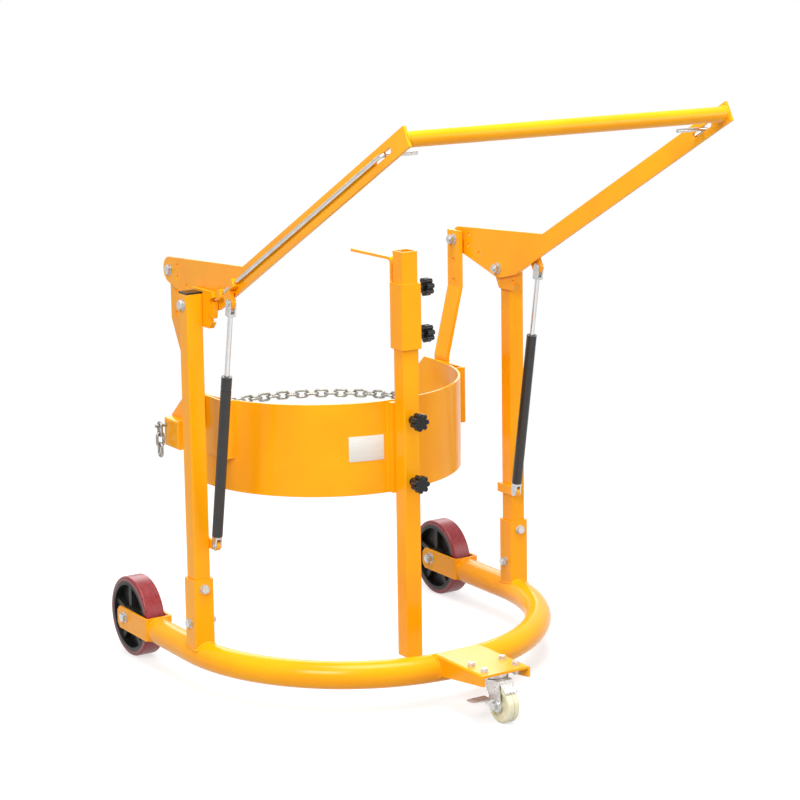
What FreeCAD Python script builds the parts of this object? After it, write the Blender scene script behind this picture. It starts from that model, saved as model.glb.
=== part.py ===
"""Mobile drum tipper: a wheeled horseshoe base with two posts, a hand lever with gas springs,
and a tilting holder that grips a steel drum round its waist and by its rim.

Millimetres, +Z up, +X to the right seen from the operator, +Y towards the open end of the base.
Sizes below are laid out from the line of the posts; the finished pieces are moved so that the
origin is under the middle of the whole part, on the floor.
"""
import FreeCAD, Part
import math
import os

V = FreeCAD.Vector

# Fits shared by all pieces
RUN_FIT = 0.05          # radial gap of a shaft in its bore
SLIDE_FIT = 0.4         # gap of a tube that slides in another
PART_GAP = 0.3          # gap between pieces that pass each other
OVERRUN = 5.0           # how far a cutting tool passes the face that it cuts

# Base ring: a bent tube, open to the rear
RING_X = 398.0          # half width between the legs' centre lines
RING_BEND_Y = 38.0      # where the front bend ends and the legs begin
RING_Z = 76.0
RING_TUBE_R = 28.5
RING_WALL = 3.5

# Rear wheels and their forks
WHEEL_Y = 290.0
WHEEL_R = 87.0
WHEEL_WIDTH = 45.0
TYRE_THICK = 10.0
TYRE_ROUND = 5.0
CORE_RIM_THICK = 8.0
CORE_WEB_THICK = 9.0
CORE_RIB_THICK = 12.0
CORE_RIB_COUNT = 5
CORE_RIB_EDGE = 5.0     # how far a rib stays inside the rim's face
HUB_R = 22.0
HUB_LENGTH = 50.0
AXLE_R = 6.0
FORK_PLATE = 6.0
FORK_SIDE_GAP = 1.0     # gap of the hub to each fork arm
FORK_HEIGHT = 48.0
FORK_WEB_GAP = 9.0      # gap of the tyre to the web
FORK_TAIL = 36.0        # arm past the axle
FORK_CORNER = 10.0

# Hex fasteners: across flats and heights are those of common metric sizes
M8_R = 4.0
M8_FLATS = 13.0
M8_HEAD = 5.3
M8_NUT = 6.8
M8_WASHER_R = 8.0
M10_R = 5.0
M10_FLATS = 16.0
M10_HEAD = 6.4
M10_NUT = 8.4
M10_WASHER_R = 10.0
M12_R = 6.0
M12_FLATS = 18.0
M12_HEAD = 7.5
M12_NUT = 10.8
M12_WASHER_R = 12.0
WASHER_THICK = 2.0
BOLT_TIP = 3.0          # thread standing past its nut

# Posts in their sockets
POST_SIZE = 36.0
POST_WALL = 3.0
POST_FOOT = 112.0
POST_ABOVE_PIVOT = 22.0
POST_ROUND = 3.0
SOCKET_WALL = 4.0
SOCKET_TOP = 240.0
SOCKET_BITE = 10.0      # how far the socket reaches down the ring tube's sides
SIDE_BOLT_Z = 146.0
FRONT_BOLT_Z = 220.0
CAP_THICK = 4.0
CAP_ROUND = 1.0
CAP_PLUG = 6.0

# Hand lever: bell-crank plates, arms and crossbar
PIVOT_Z = 812.0
PIVOT_LOBE_R = 22.0
BUSH_R = 16.0
LEVER_THICK = 6.0
LEVER_GAP = 13.0        # post to lever plate, filled by the bush
HANGER_BOLT_Y = 150.0
HANGER_BOLT_RISE = 49.0     # above the pivot
HANGER_LOBE_R = 27.0
PLATE_HOLE_R = 5.0
PLATE_HOLE_SHARES = (0.49, 0.76)    # along the line from the pivot to the hanger bolt
PLATE_HOLE_RISE = 24.0  # third hole, above the last of these
PLATE_FRONT_Y = -165.0
PLATE_TIP_Y = -63.0
PLATE_CORNER_R = 4.0
ARM_WIDTH = 40.0
ARM_DROP = 16.42        # pivot to the arm's middle line, square to the arm
CROSSBAR_Y = -750.0
CROSSBAR_Z = 1201.0
CROSSBAR_R = 15.0
ARM_PAST = 14.7         # arm's square end past the crossbar's centre line
CROSSBAR_WALL = 2.5
SLOT_END = 42.0         # slot's upper end, short of the crossbar's centre line
SLOT_LENGTH = 62.0
SLOT_WIDTH = 11.0

# Release plungers along the arms, and the notched sectors that they lock into
PLUNGER_R = 4.0
PLUNGER_X_GAP = 2.0     # lever plate to the plunger's surface
PLUNGER_BEND_R = 9.0
PLUNGER_STOP = 68.0     # bent end, short of the crossbar's centre line
FINGER_REACH = 64.0     # bent end past the arm's inner face
PLUNGER_TRAVEL = 12.0
LEVER_DROP_DEG = 40.0   # how far the handle goes down
SECTOR_R = 63.0
SECTOR_THICK = 11.0
SECTOR_TOP = 30.0       # above the pivot
SECTOR_FOOT = 46.0      # below it
SECTOR_REAR = 28.0      # behind it, down to the level where the rear edge slants
SECTOR_SLANT = 8.0      # that level, below the pivot
SECTOR_FOOT_REAR = 8.0  # rear edge at the foot
SECTOR_PLAY = 1.0       # sector's hole round the bush
TIP_GAP = 1.0           # plunger's tip to the sector at rest
NOTCH_PLAY = 0.6
GUIDE_STARTS = (78.0, 138.0)    # along the arm, from the point nearest the pivot
GUIDE_LENGTH = 20.0
GUIDE_HEIGHT = 17.0
GUIDE_WALL = 4.0

# Gas springs
SPRING_X_GAP = 4.0      # post's inner face to the springs' plane
LUG_THICK = 8.0
LUG_HEIGHT = 20.0
LUG_REAR = 6.0          # lug past the post's rear face
SPRING_FOOT_Y = -41.0
SPRING_FOOT_Z = 313.0
SPRING_HEAD_ALONG = 123.69  # head pin along the arm, from the point nearest the pivot
SPRING_HEAD_DROP = 30.33    # and below the arm's middle line
SPRING_PIN_R = 4.0
PIN_HEAD_R = 6.0
PIN_HEAD = 2.0
PIN_PROUD = 0.4
CLEVIS_WIDTH = 16.0
CLEVIS_EAR = 3.4
CLEVIS_FOOT_DEPTH = 16.0    # from the foot pin to the bottom of its slot
CLEVIS_HEAD_DEPTH = 22.0    # the same at the head pin
CLEVIS_NECK = 6.0
CYLINDER_R = 11.0
CYLINDER_WALL = 2.0
CYLINDER_TOP = 369.0        # along the spring from its foot pin
CYLINDER_END = 6.0
CYLINDER_GROOVE_FROM_TOP = 26.0
CYLINDER_GROOVE_WIDTH = 3.0
CYLINDER_GROOVE_DEPTH = 0.8
SPRING_ROD_R = 5.0
PISTON_LENGTH = 16.0
ROD_INSIDE = 190.0          # rod inside the cylinder at rest
TAB_LENGTH = 30.0           # along the arm
TAB_TOP = 14.0              # above the arm's lower edge
TAB_PAD_FOOT = 6.0          # weld pad starts this far above the arm's lower edge
TAB_EYE_R = 15.0
TAB_SLOT_LENGTH = 20.0      # play for the head pin as the lever swings
TAB_SLOT_WIDTH = 12.4
TAB_SLOT_BACK = 3.8         # slot's middle from the pin at rest, down the arm
TAB_SLOT_RISE = 1.6         # and up towards it

# Hangers between the lever and the holder's trunnions
HANGER_THICK = 8.0
HANGER_WIDTH = 48.0
HANGER_TOP_EDGE = 20.0      # above the hanger bolt
HANGER_GAP = 8.0            # lever plate to hanger, filled by a spacer
HANGER_HOLE_STEP = 47.0
HANGER_HOLE_COUNT = 2
HANGER_TOP_STRAIGHT = 106.0     # from the hanger bolt down to the bend
HANGER_FOOT_STRAIGHT = 65.0     # from the trunnion up to the bend
TRUNNION_Z = 535.0
TRUNNION_R = 10.0
TRUNNION_GAP = 3.0          # bracket to hanger, filled by a collar
TRUNNION_COLLAR_R = 16.0
TRUNNION_CAP_R = 15.0
TRUNNION_CAP = 6.0

# Holder band round the drum's front half, with folded brackets at its ends
DRUM_R = 293.0
BAND_THICK = 5.0
BAND_HEIGHT = 195.0
BAND_ABOVE = 55.0           # band's top above the trunnions
BRACKET_THICK = 5.0
BRACKET_FRONT_Y = 48.0
BRACKET_REAR_Y = 285.0
BRACKET_HEIGHT = 124.0
BRACKET_SLOPE_Y = 205.0     # where the top edge starts to slope down
BRACKET_REAR_TOP = 69.0     # how far the slope falls
BINDER_FRONT_Y = 216.0
BINDER_REAR_Y = 280.0
BINDER_DROP = 16.0          # top below the trunnions
BINDER_HEIGHT = 62.0
BINDER_DEPTH = 22.0
BINDER_ROUND = 4.0
BINDER_SLOT_WIDTH = 30.0
BINDER_SLOT_HEIGHT = 16.0
BINDER_SLOT_DEPTH = 14.0

# Chain round the drum's rear half, and the free tail at the binder
LINK_WIRE_R = 3.0
LINK_WIDTH = 21.0
CHAIN_R = 308.0
CHAIN_DROP = 47.0       # below the trunnions
CHAIN_LINKS = 31        # between the eyes; the middle one lies flat
EYE_WIRE_R = 4.0
EYE_R = 11.0
TAIL_LINKS = 3
TAIL_X_GAP = 5.0        # tail's links to the binder's outer face
TAIL_HOOK_R = 3.5

# Mast at the front of the band, and the sliding rim hook on it
MAST_SIZE = 38.0
MAST_WALL = 3.0
MAST_FOOT = 48.0
MAST_ABOVE_BAND = 316.0
MAST_BACK_GAP = 17.0    # band to mast, filled by the pad
PAD_WIDTH = 50.0
PAD_EDGE = 2.0          # pad inside the band's top and bottom edges
SLEEVE_WALL = 4.5
SLEEVE_DROP = 66.0      # below the mast's top
SLEEVE_HEIGHT = 137.0
HOOK_WIDTH = 36.0
HOOK_THICK = 6.0
HOOK_LAP = 125.0        # down the sleeve from its top
HOOK_RISE = 51.0        # above the sleeve
HOOK_BEND_R = 14.0
HOOK_REACH = 158.0      # from the sleeve's back face over the rim

# Star knobs
KNOB_R = 19.0
KNOB_LOBES = 7
KNOB_LOBE_R = 5.5
KNOB_HEIGHT = 18.0
KNOB_NECK_R = 9.0
KNOB_NECK = 19.0
KNOB_ROUND = 2.5
KNOB_STUD_R = 5.0
MAST_KNOB_SHARES = (0.155, 0.825)   # up the band
SLEEVE_KNOB_SHARES = (0.19, 0.9)    # up the sleeve

# Front caster and the folded channel that carries it
CASTER_Y = -488.0
CHANNEL_FRONT_Y = -534.0
CHANNEL_WIDTH = 114.0
CHANNEL_PLATE = 5.0
CHANNEL_SINK = 2.0      # plate's underside below the ring tube's top
FLANGE_FRONT = 22.0
FLANGE_REAR = 44.0
CASTER_PLATE_X = 94.0
CASTER_PLATE_Y = 64.0
CASTER_PLATE_THICK = 3.0
CASTER_BOLT_X = 75.0
CASTER_BOLT_Y = 45.0
RACE_OUTER_R = 27.0
RACE_INNER_R = 20.0
RACE_GAP = 0.5
KINGPIN_R = 6.0
KINGPIN_HEAD_R = 10.0
KINGPIN_HEAD = 4.0
CASTER_TRAIL = 35.0
CASTER_WHEEL_R = 37.5
CASTER_WHEEL_WIDTH = 26.0
CASTER_WHEEL_ROUND = 5.0
CASTER_WHEEL_DISH = 4.0
CASTER_WHEEL_DISH_R = 28.0
CASTER_FORK_PLATE = 3.0
CASTER_FORK_GAP = 2.0   # wheel to each fork leg
CASTER_FORK_TOP_R = 30.0
CASTER_LEG_R = 14.0
CASTER_HEAD_DROP = 12.5     # fork's top plate under the caster's plate
BRAKE_PLATE_THICK = 2.5
BRAKE_PLATE_TAB = 12.0      # under the fork's top plate
BRAKE_PLATE_LENGTH = 26.0   # down in front of the wheel
BRAKE_PLATE_GAP = 1.5       # to the wheel's tread
BRAKE_TOOTH_COUNT = 4
BRAKE_TOOTH_WIDTH = 3.0
BRAKE_TOOTH_DEPTH = 3.0
PEDAL_PLATE = 2.5
PEDAL_LENGTH = 34.0
PEDAL_HUB_R = 12.0
PEDAL_TIP_R = 7.0
PEDAL_PAD = 46.0            # foot pad outwards from the lever
PEDAL_PAD_LENGTH = 26.0
PEDAL_RISE = 2.0

# Places that follow from the sizes above
SOCKET_SIZE = POST_SIZE + 2 * (SLIDE_FIT + SOCKET_WALL)
POST_IN = RING_X - POST_SIZE / 2
LEVER_OUT = POST_IN - LEVER_GAP
LEVER_IN = LEVER_OUT - LEVER_THICK
HANGER_OUT = LEVER_IN - HANGER_GAP
HANGER_IN = HANGER_OUT - HANGER_THICK
BAND_R = DRUM_R + BAND_THICK
BRACKET_IN = BAND_R + PART_GAP
BRACKET_OUT = BRACKET_IN + BRACKET_THICK
HANGER_FOOT_IN = BRACKET_OUT + TRUNNION_GAP
HANGER_BOLT_Z = PIVOT_Z + HANGER_BOLT_RISE
POST_TOP = PIVOT_Z + POST_ABOVE_PIVOT
DRUM_Y = HANGER_BOLT_Y
BAND_TOP = TRUNNION_Z + BAND_ABOVE
BAND_FOOT = BAND_TOP - BAND_HEIGHT
BINDER_TOP = TRUNNION_Z - BINDER_DROP
CHAIN_Z = TRUNNION_Z - CHAIN_DROP
MAST_TOP = BAND_TOP + MAST_ABOVE_BAND
SLEEVE_TOP = MAST_TOP - SLEEVE_DROP
SLEEVE_FOOT = SLEEVE_TOP - SLEEVE_HEIGHT
MAST_KNOB_HEIGHTS = [BAND_FOOT + share * BAND_HEIGHT for share in MAST_KNOB_SHARES]
SLEEVE_KNOB_HEIGHTS = [SLEEVE_FOOT + share * SLEEVE_HEIGHT for share in SLEEVE_KNOB_SHARES]
SPRING_X = POST_IN - SPRING_X_GAP
PLUNGER_X = LEVER_OUT + PLUNGER_X_GAP + PLUNGER_R
FORK_IN = HUB_LENGTH / 2 + FORK_SIDE_GAP
FORK_OUT = FORK_IN + FORK_PLATE
FORK_WEB_REAR = WHEEL_Y - WHEEL_R - FORK_WEB_GAP
FORK_WEB_FRONT = FORK_WEB_REAR - FORK_PLATE
FORK_Z = (RING_Z + WHEEL_R) / 2
MAST_BACK = DRUM_Y - BAND_R - MAST_BACK_GAP
MAST_Y = MAST_BACK - MAST_SIZE / 2
SLEEVE_SIZE = MAST_SIZE + 2 * (SLIDE_FIT + SLEEVE_WALL)
SLEEVE_BACK = MAST_Y + SLEEVE_SIZE / 2
CHANNEL_UNDER = RING_Z + RING_TUBE_R - CHANNEL_SINK
CHANNEL_TOP = CHANNEL_UNDER + CHANNEL_PLATE
CASTER_PLATE_FOOT = CHANNEL_UNDER - CASTER_PLATE_THICK
CASTER_FORK_TOP = CASTER_PLATE_FOOT - CASTER_HEAD_DROP
CASTER_WHEEL_Y = CASTER_Y - CASTER_TRAIL

# The arm's middle line passes under the pivot: its way towards the handle, and its point nearest the pivot
ARM_REACH = math.hypot(CROSSBAR_Y, CROSSBAR_Z - PIVOT_Z)
ARM_SLOPE = math.atan2(CROSSBAR_Z - PIVOT_Z, -CROSSBAR_Y) + math.asin(ARM_DROP / ARM_REACH)
ARM_DIR = V(0, -math.cos(ARM_SLOPE), math.sin(ARM_SLOPE))
ARM_UP = V(0, math.sin(ARM_SLOPE), math.cos(ARM_SLOPE))
ARM_LENGTH_FROM_FOOT = math.sqrt(ARM_REACH ** 2 - ARM_DROP ** 2)
ARM_FOOT = V(0, 0, PIVOT_Z) - ARM_UP * ARM_DROP
ARM_FRONT_Z = CROSSBAR_Z - (PLATE_FRONT_Y - CROSSBAR_Y) * math.tan(ARM_SLOPE)
TIP_START = math.sqrt((SECTOR_R + TIP_GAP) ** 2 - ARM_DROP ** 2)

# The gas spring's line, from its foot pin to its head pin
SPRING_FOOT = V(SPRING_X, SPRING_FOOT_Y, SPRING_FOOT_Z)
SPRING_HEAD = V(SPRING_X, 0, 0) + ARM_FOOT + ARM_DIR * SPRING_HEAD_ALONG - ARM_UP * SPRING_HEAD_DROP
SPRING_LENGTH = (SPRING_HEAD - SPRING_FOOT).Length
SPRING_DIR = (SPRING_HEAD - SPRING_FOOT) / SPRING_LENGTH

# The chain's eyes touch the brackets; the links share out the arc between the eyes
EYE_ANGLE = math.acos((BRACKET_IN - EYE_R - EYE_WIRE_R) / CHAIN_R)
LINK_PITCH = ((math.pi - 2 * EYE_ANGLE) * CHAIN_R - 2 * (EYE_R - EYE_WIRE_R)) / CHAIN_LINKS

# The finished part stands with its bounding box centred on the origin
FRONT_REACH = CROSSBAR_Y - ARM_PAST * math.cos(ARM_SLOPE) - ARM_WIDTH / 2 * math.sin(ARM_SLOPE)
REAR_REACH = max(WHEEL_Y + WHEEL_R, DRUM_Y + CHAIN_R + LINK_WIDTH / 2)
ORIGIN_SHIFT = V(0, -(FRONT_REACH + REAR_REACH) / 2, 0)


# Building blocks

def box(x0, x1, y0, y1, z0, z1):
    low = V(min(x0, x1), min(y0, y1), min(z0, z1))
    return Part.makeBox(abs(x1 - x0), abs(y1 - y0), abs(z1 - z0), low)


def rod(start, end, radius):
    run = end - start
    return Part.makeCylinder(radius, run.Length, start, run)


def rod_x(x0, x1, y, z, radius):
    """Round bar along X."""
    return rod(V(x0, y, z), V(x1, y, z), radius)


def mirrored(shape):
    return shape.mirror(V(0, 0, 0), V(1, 0, 0))


def sided(shape, side):
    """A piece is drawn on the right; the left one is its mirror image."""
    return shape if side > 0 else mirrored(shape)


def pair(shape):
    return [shape, mirrored(shape)]


def belt_face(circles, place):
    """Face inside a belt drawn tight round circles (a, b, radius), listed anticlockwise."""
    count = len(circles)
    leaving = []
    for i in range(count):
        a0, b0, r0 = circles[i]
        a1, b1, r1 = circles[(i + 1) % count]
        length = math.hypot(a1 - a0, b1 - b0)
        ua, ub = (a1 - a0) / length, (b1 - b0) / length
        along = (r0 - r1) / length
        across = math.sqrt(1 - along ** 2)
        leaving.append((ua * along + ub * across, ub * along - ua * across))
    edges = []
    for i in range(count):
        a, b, r = circles[i]
        first = leaving[i - 1]
        last = leaving[i]
        if r > 0:
            start = math.atan2(first[1], first[0])
            sweep = (math.atan2(last[1], last[0]) - start) % (2 * math.pi)
            middle = (math.cos(start + sweep / 2), math.sin(start + sweep / 2))
            arc = [place(a + r * m[0], b + r * m[1]) for m in (first, middle, last)]
            edges.append(Part.Arc(*arc).toShape())
        a1, b1, r1 = circles[(i + 1) % count]
        start = place(a + r * last[0], b + r * last[1])
        end = place(a1 + r1 * last[0], b1 + r1 * last[1])
        edges.append(Part.LineSegment(start, end).toShape())
    return Part.Face(Part.Wire(edges))


def plate_yz(circles, x0, x1):
    """Flat plate square to X, its outline a belt round circles given as (y, z, radius)."""
    low = min(x0, x1)
    return belt_face(circles, lambda a, b: V(low, a, b)).extrude(V(abs(x1 - x0), 0, 0))


def prism_yz(points, x0, x1):
    low = min(x0, x1)
    corners = [V(low, y, z) for y, z in points]
    return Part.Face(Part.makePolygon(corners + corners[:1])).extrude(V(abs(x1 - x0), 0, 0))


def placed(shape, point, direction):
    """Move a piece drawn at the origin along +Z to a point, with +Z turned to a direction."""
    out = shape.copy()
    out.Placement = FreeCAD.Placement(point, FreeCAD.Rotation(V(0, 0, 1), direction)).multiply(out.Placement)
    return out


def hex_prism(flats, height):
    radius = flats / math.sqrt(3)
    angles = [k * math.pi / 3 for k in range(7)]
    corners = [V(radius * math.cos(a), radius * math.sin(a), 0) for a in angles]
    blank = Part.Face(Part.makePolygon(corners)).extrude(V(0, 0, height))
    chamfer = Part.makeCone(flats / 2 + height * math.sqrt(3), flats / 2, height)
    return blank.common(chamfer)


def ring_washer(outer, inner, height):
    return Part.makeCylinder(outer, height).cut(Part.makeCylinder(inner, height))


def bolt_set(head_face, direction, grip, radius, flats, head, nut, washer_r):
    """Hex bolt, two washers and a nut clamping a grip; head_face is where the grip begins."""
    shank = Part.makeCylinder(radius, grip + 2 * WASHER_THICK + nut + BOLT_TIP, V(0, 0, -WASHER_THICK))
    bolt_head = hex_prism(flats, head).mirror(V(0, 0, 0), V(0, 0, 1))
    bolt_head.translate(V(0, 0, -WASHER_THICK))
    washer = ring_washer(washer_r, radius + RUN_FIT, WASHER_THICK)
    low_washer = washer.copy()
    low_washer.translate(V(0, 0, -WASHER_THICK))
    high_washer = washer.copy()
    high_washer.translate(V(0, 0, grip))
    hex_nut = hex_prism(flats, nut).cut(Part.makeCylinder(radius + RUN_FIT, nut))
    hex_nut.translate(V(0, 0, grip + WASHER_THICK))
    return [placed(s, head_face, direction) for s in (shank.fuse(bolt_head).removeSplitter(), low_washer,
                                                      high_washer, hex_nut)]


def square_tube(x, y, size, wall, z0, z1, rounding):
    """Upright square tube with rounded outer corners."""
    outer = box(x - size / 2, x + size / 2, y - size / 2, y + size / 2, z0, z1)
    outer = round_edges(outer, rounding, lambda e: runs_along(e, "z"))
    hole = size / 2 - wall
    return outer.cut(box(x - hole, x + hole, y - hole, y + hole, z0 - OVERRUN, z1 + OVERRUN))


def cut_all(shape, tools):
    for tool in tools:
        shape = shape.cut(tool)
    return shape


def fuse_all(shapes):
    return shapes[0].multiFuse(shapes[1:]).removeSplitter()


def is_rim(edge):
    """True for a whole circle, such as the rim of a disc."""
    return edge.Closed and hasattr(edge.Curve, "Radius")


def runs_along(edge, axis):
    """True for an edge that starts along an axis, given as x, y or z."""
    return abs(getattr(edge.tangentAt(edge.FirstParameter), axis)) > 0.5


def round_edges(shape, radius, chosen):
    return shape.makeFillet(radius, [e for e in shape.Edges if chosen(e)])


def save(name, shapes):
    """Write one node; a node of several solids is a group of like pieces."""
    solids = shapes if isinstance(shapes, list) else [shapes]
    moved = []
    for solid in solids:
        piece = solid.copy()
        piece.translate(ORIGIN_SHIFT)
        moved.extend(piece.Solids)
    for solid in moved:
        if not solid.isValid():
            print("not valid:", name)
    whole = moved[0] if len(moved) == 1 else Part.makeCompound(moved)
    whole.exportStep("parts/" + name + ".step")
    print(name, len(moved), "solids", round(sum(s.Volume for s in moved)), "mm3")


# Base

def ring_solid(radius):
    """The bent tube as a bar of a given radius: front half circle and two straight legs."""
    bend = Part.makeTorus(RING_X, radius, V(0, RING_BEND_Y, RING_Z), V(0, 0, 1))
    reach = RING_X + radius + OVERRUN
    front = box(-reach, reach, RING_BEND_Y - reach, RING_BEND_Y, RING_Z - reach, RING_Z + reach)
    legs = pair(rod(V(RING_X, RING_BEND_Y, RING_Z), V(RING_X, FORK_WEB_FRONT, RING_Z), radius))
    return fuse_all([bend.common(front)] + legs)


def base_ring():
    return ring_solid(RING_TUBE_R).cut(ring_solid(RING_TUBE_R - RING_WALL))


def wheel_fork(side):
    """Bent plate: a web on the leg's end and two arms to the axle."""
    low, high = FORK_Z - FORK_HEIGHT / 2, FORK_Z + FORK_HEIGHT / 2
    tail = WHEEL_Y + FORK_TAIL
    outer = box(RING_X - FORK_OUT, RING_X + FORK_OUT, FORK_WEB_FRONT, tail, low, high)
    outer = round_edges(outer, FORK_PLATE, lambda e: abs(e.CenterOfMass.y - FORK_WEB_FRONT) < RUN_FIT
                        and runs_along(e, "z"))
    outer = outer.cut(box(RING_X - FORK_IN, RING_X + FORK_IN, FORK_WEB_REAR, tail + OVERRUN,
                          low - OVERRUN, high + OVERRUN))
    ends = [e for e in outer.Edges if abs(e.CenterOfMass.y - tail) < RUN_FIT and runs_along(e, "x")]
    outer = outer.makeChamfer(FORK_CORNER, ends)
    hole = rod_x(0, 2 * RING_X, WHEEL_Y, WHEEL_R, AXLE_R + RUN_FIT)
    return sided(outer.cut(hole), side)


def rear_axles():
    sets = bolt_set(V(RING_X + FORK_OUT, WHEEL_Y, WHEEL_R), V(-1, 0, 0), 2 * FORK_OUT,
                    AXLE_R, M12_FLATS, M12_HEAD, M12_NUT, M12_WASHER_R)
    return sets + [mirrored(s) for s in sets]


def wheel_core(side):
    """Cast core: rim, thin web, hub and ribs."""
    rim_r = WHEEL_R - TYRE_THICK
    centre = V(RING_X, WHEEL_Y, WHEEL_R)

    def disc(radius, width):
        half = V(width / 2, 0, 0)
        return rod(centre - half, centre + half, radius)

    rim = disc(rim_r, WHEEL_WIDTH).cut(disc(rim_r - CORE_RIM_THICK, WHEEL_WIDTH))
    web = disc(rim_r - CORE_RIM_THICK / 2, CORE_WEB_THICK)
    pieces = [rim, web, disc(HUB_R, HUB_LENGTH)]
    half_rib = WHEEL_WIDTH / 2 - CORE_RIB_EDGE
    for k in range(CORE_RIB_COUNT):
        rib = box(centre.x - half_rib, centre.x + half_rib, centre.y - CORE_RIB_THICK / 2,
                  centre.y + CORE_RIB_THICK / 2, centre.z + HUB_R / 2, centre.z + rim_r - CORE_RIM_THICK / 2)
        rib.rotate(centre, V(1, 0, 0), 360.0 * k / CORE_RIB_COUNT)
        pieces.append(rib)
    return sided(fuse_all(pieces).cut(disc(AXLE_R + RUN_FIT, HUB_LENGTH)), side)


def wheel_tyre(side):
    centre = V(RING_X, WHEEL_Y, WHEEL_R)
    half = V(WHEEL_WIDTH / 2, 0, 0)
    outer = rod(centre - half, centre + half, WHEEL_R)
    outer = round_edges(outer, TYRE_ROUND, is_rim)
    return sided(outer.cut(rod(centre - half, centre + half, WHEEL_R - TYRE_THICK)), side)


def socket_bolt_holes():
    front = V(RING_X, -SOCKET_SIZE, FRONT_BOLT_Z)
    return [rod_x(0, 2 * RING_X, 0, SIDE_BOLT_Z, M10_R + RUN_FIT),
            rod(front, front + V(0, 2 * SOCKET_SIZE, 0), M10_R + RUN_FIT)]


def post_socket(side):
    """Square socket, its foot cut to sit on the ring tube."""
    foot = RING_Z + RING_TUBE_R - SOCKET_BITE
    body = square_tube(RING_X, 0, SOCKET_SIZE, SOCKET_WALL, foot, SOCKET_TOP, POST_ROUND)
    body = cut_all(body.cut(ring_solid(RING_TUBE_R)), socket_bolt_holes())
    return sided(max(body.Solids, key=lambda s: s.Volume), side)


def post(side):
    body = square_tube(RING_X, 0, POST_SIZE, POST_WALL, POST_FOOT, POST_TOP, POST_ROUND)
    pivot_hole = rod_x(0, 2 * RING_X, 0, PIVOT_Z, M12_R + RUN_FIT)
    return sided(cut_all(body, socket_bolt_holes() + [pivot_hole]), side)


def post_caps():
    half = POST_SIZE / 2
    lid = box(RING_X - half, RING_X + half, -half, half, POST_TOP, POST_TOP + CAP_THICK)
    lid = lid.makeFillet(CAP_ROUND, lid.Edges)
    inner = POST_SIZE / 2 - POST_WALL - RUN_FIT
    plug = box(RING_X - inner, RING_X + inner, -inner, inner, POST_TOP - CAP_PLUG, POST_TOP + CAP_THICK / 2)
    return pair(lid.fuse(plug).removeSplitter())


def socket_bolts():
    half = SOCKET_SIZE / 2
    across = bolt_set(V(RING_X + half, 0, SIDE_BOLT_Z), V(-1, 0, 0), SOCKET_SIZE,
                      M10_R, M10_FLATS, M10_HEAD, M10_NUT, M10_WASHER_R)
    front = bolt_set(V(RING_X, -half, FRONT_BOLT_Z), V(0, 1, 0), SOCKET_SIZE,
                     M10_R, M10_FLATS, M10_HEAD, M10_NUT, M10_WASHER_R)
    return across + front + [mirrored(s) for s in across + front]


def spring_lugs():
    """Flat bars on the posts' inner faces, which carry the gas springs' feet."""
    half = LUG_HEIGHT / 2
    rear = POST_SIZE / 2 + LUG_REAR
    bar = plate_yz([(rear, SPRING_FOOT_Z - half, 0), (rear, SPRING_FOOT_Z + half, 0),
                    (SPRING_FOOT_Y, SPRING_FOOT_Z, half)], POST_IN - LUG_THICK, POST_IN)
    return pair(bar.cut(rod_x(0, RING_X, SPRING_FOOT_Y, SPRING_FOOT_Z, SPRING_PIN_R + RUN_FIT)))


def clevis_pin(centre):
    half = LUG_THICK / 2 + PART_GAP + CLEVIS_EAR + PIN_PROUD
    shank = rod(centre - V(half, 0, 0), centre + V(half, 0, 0), SPRING_PIN_R)
    head = rod(centre + V(half, 0, 0), centre + V(half + PIN_HEAD, 0, 0), PIN_HEAD_R)
    return shank.fuse(head).removeSplitter()


def lower_pins():
    return pair(clevis_pin(SPRING_FOOT))


def arm_point(along, up=0.0, x=0.0):
    """Point on the arm's middle line, measured from its point nearest the pivot."""
    return V(x, 0, 0) + ARM_FOOT + ARM_DIR * along + ARM_UP * up


def turned(shape, degrees):
    """Turn a piece of the lever about its pivot; the handle goes down."""
    out = shape.copy()
    out.rotate(V(0, 0, PIVOT_Z), V(1, 0, 0), degrees)
    return out


def latch_sectors():
    """Sector on the post's inner face, with a notch for the plunger at each end of the lever's swing."""
    disc = rod_x(POST_IN - SECTOR_THICK, POST_IN, 0, PIVOT_Z, SECTOR_R)
    low, high = PIVOT_Z - SECTOR_FOOT, PIVOT_Z + SECTOR_TOP
    outline = [(-2 * SECTOR_R, low), (SECTOR_FOOT_REAR, low), (SECTOR_REAR, PIVOT_Z - SECTOR_SLANT),
               (SECTOR_REAR, high), (-2 * SECTOR_R, high)]
    sector = disc.common(prism_yz(outline, 0, 2 * RING_X))
    sector = sector.cut(rod_x(0, 2 * RING_X, 0, PIVOT_Z, BUSH_R + SECTOR_PLAY))
    notch_r = PLUNGER_R + NOTCH_PLAY
    ends = [arm_point(TIP_START - PLUNGER_TRAVEL), arm_point(2 * SECTOR_R)]
    notch = plate_yz([(e.y, e.z, notch_r) for e in ends], 0, 2 * RING_X)
    return pair(cut_all(sector, [notch, turned(notch, LEVER_DROP_DEG)]))


def pivot_bolts():
    """Bolts through the posts, each with a bush that spaces the lever off its post."""
    outside = V(RING_X + POST_SIZE / 2, 0, PIVOT_Z)
    grip = outside.x - LEVER_IN + PART_GAP
    solids = bolt_set(outside, V(-1, 0, 0), grip, M12_R, M12_FLATS, M12_HEAD, M12_NUT, M12_WASHER_R)
    bush = rod_x(LEVER_OUT + PART_GAP, POST_IN, 0, PIVOT_Z, BUSH_R)
    bush = bush.cut(rod_x(0, 2 * RING_X, 0, PIVOT_Z, M12_R + RUN_FIT))
    return solids + [bush] + [mirrored(s) for s in solids + [bush]]


# Lever

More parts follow.
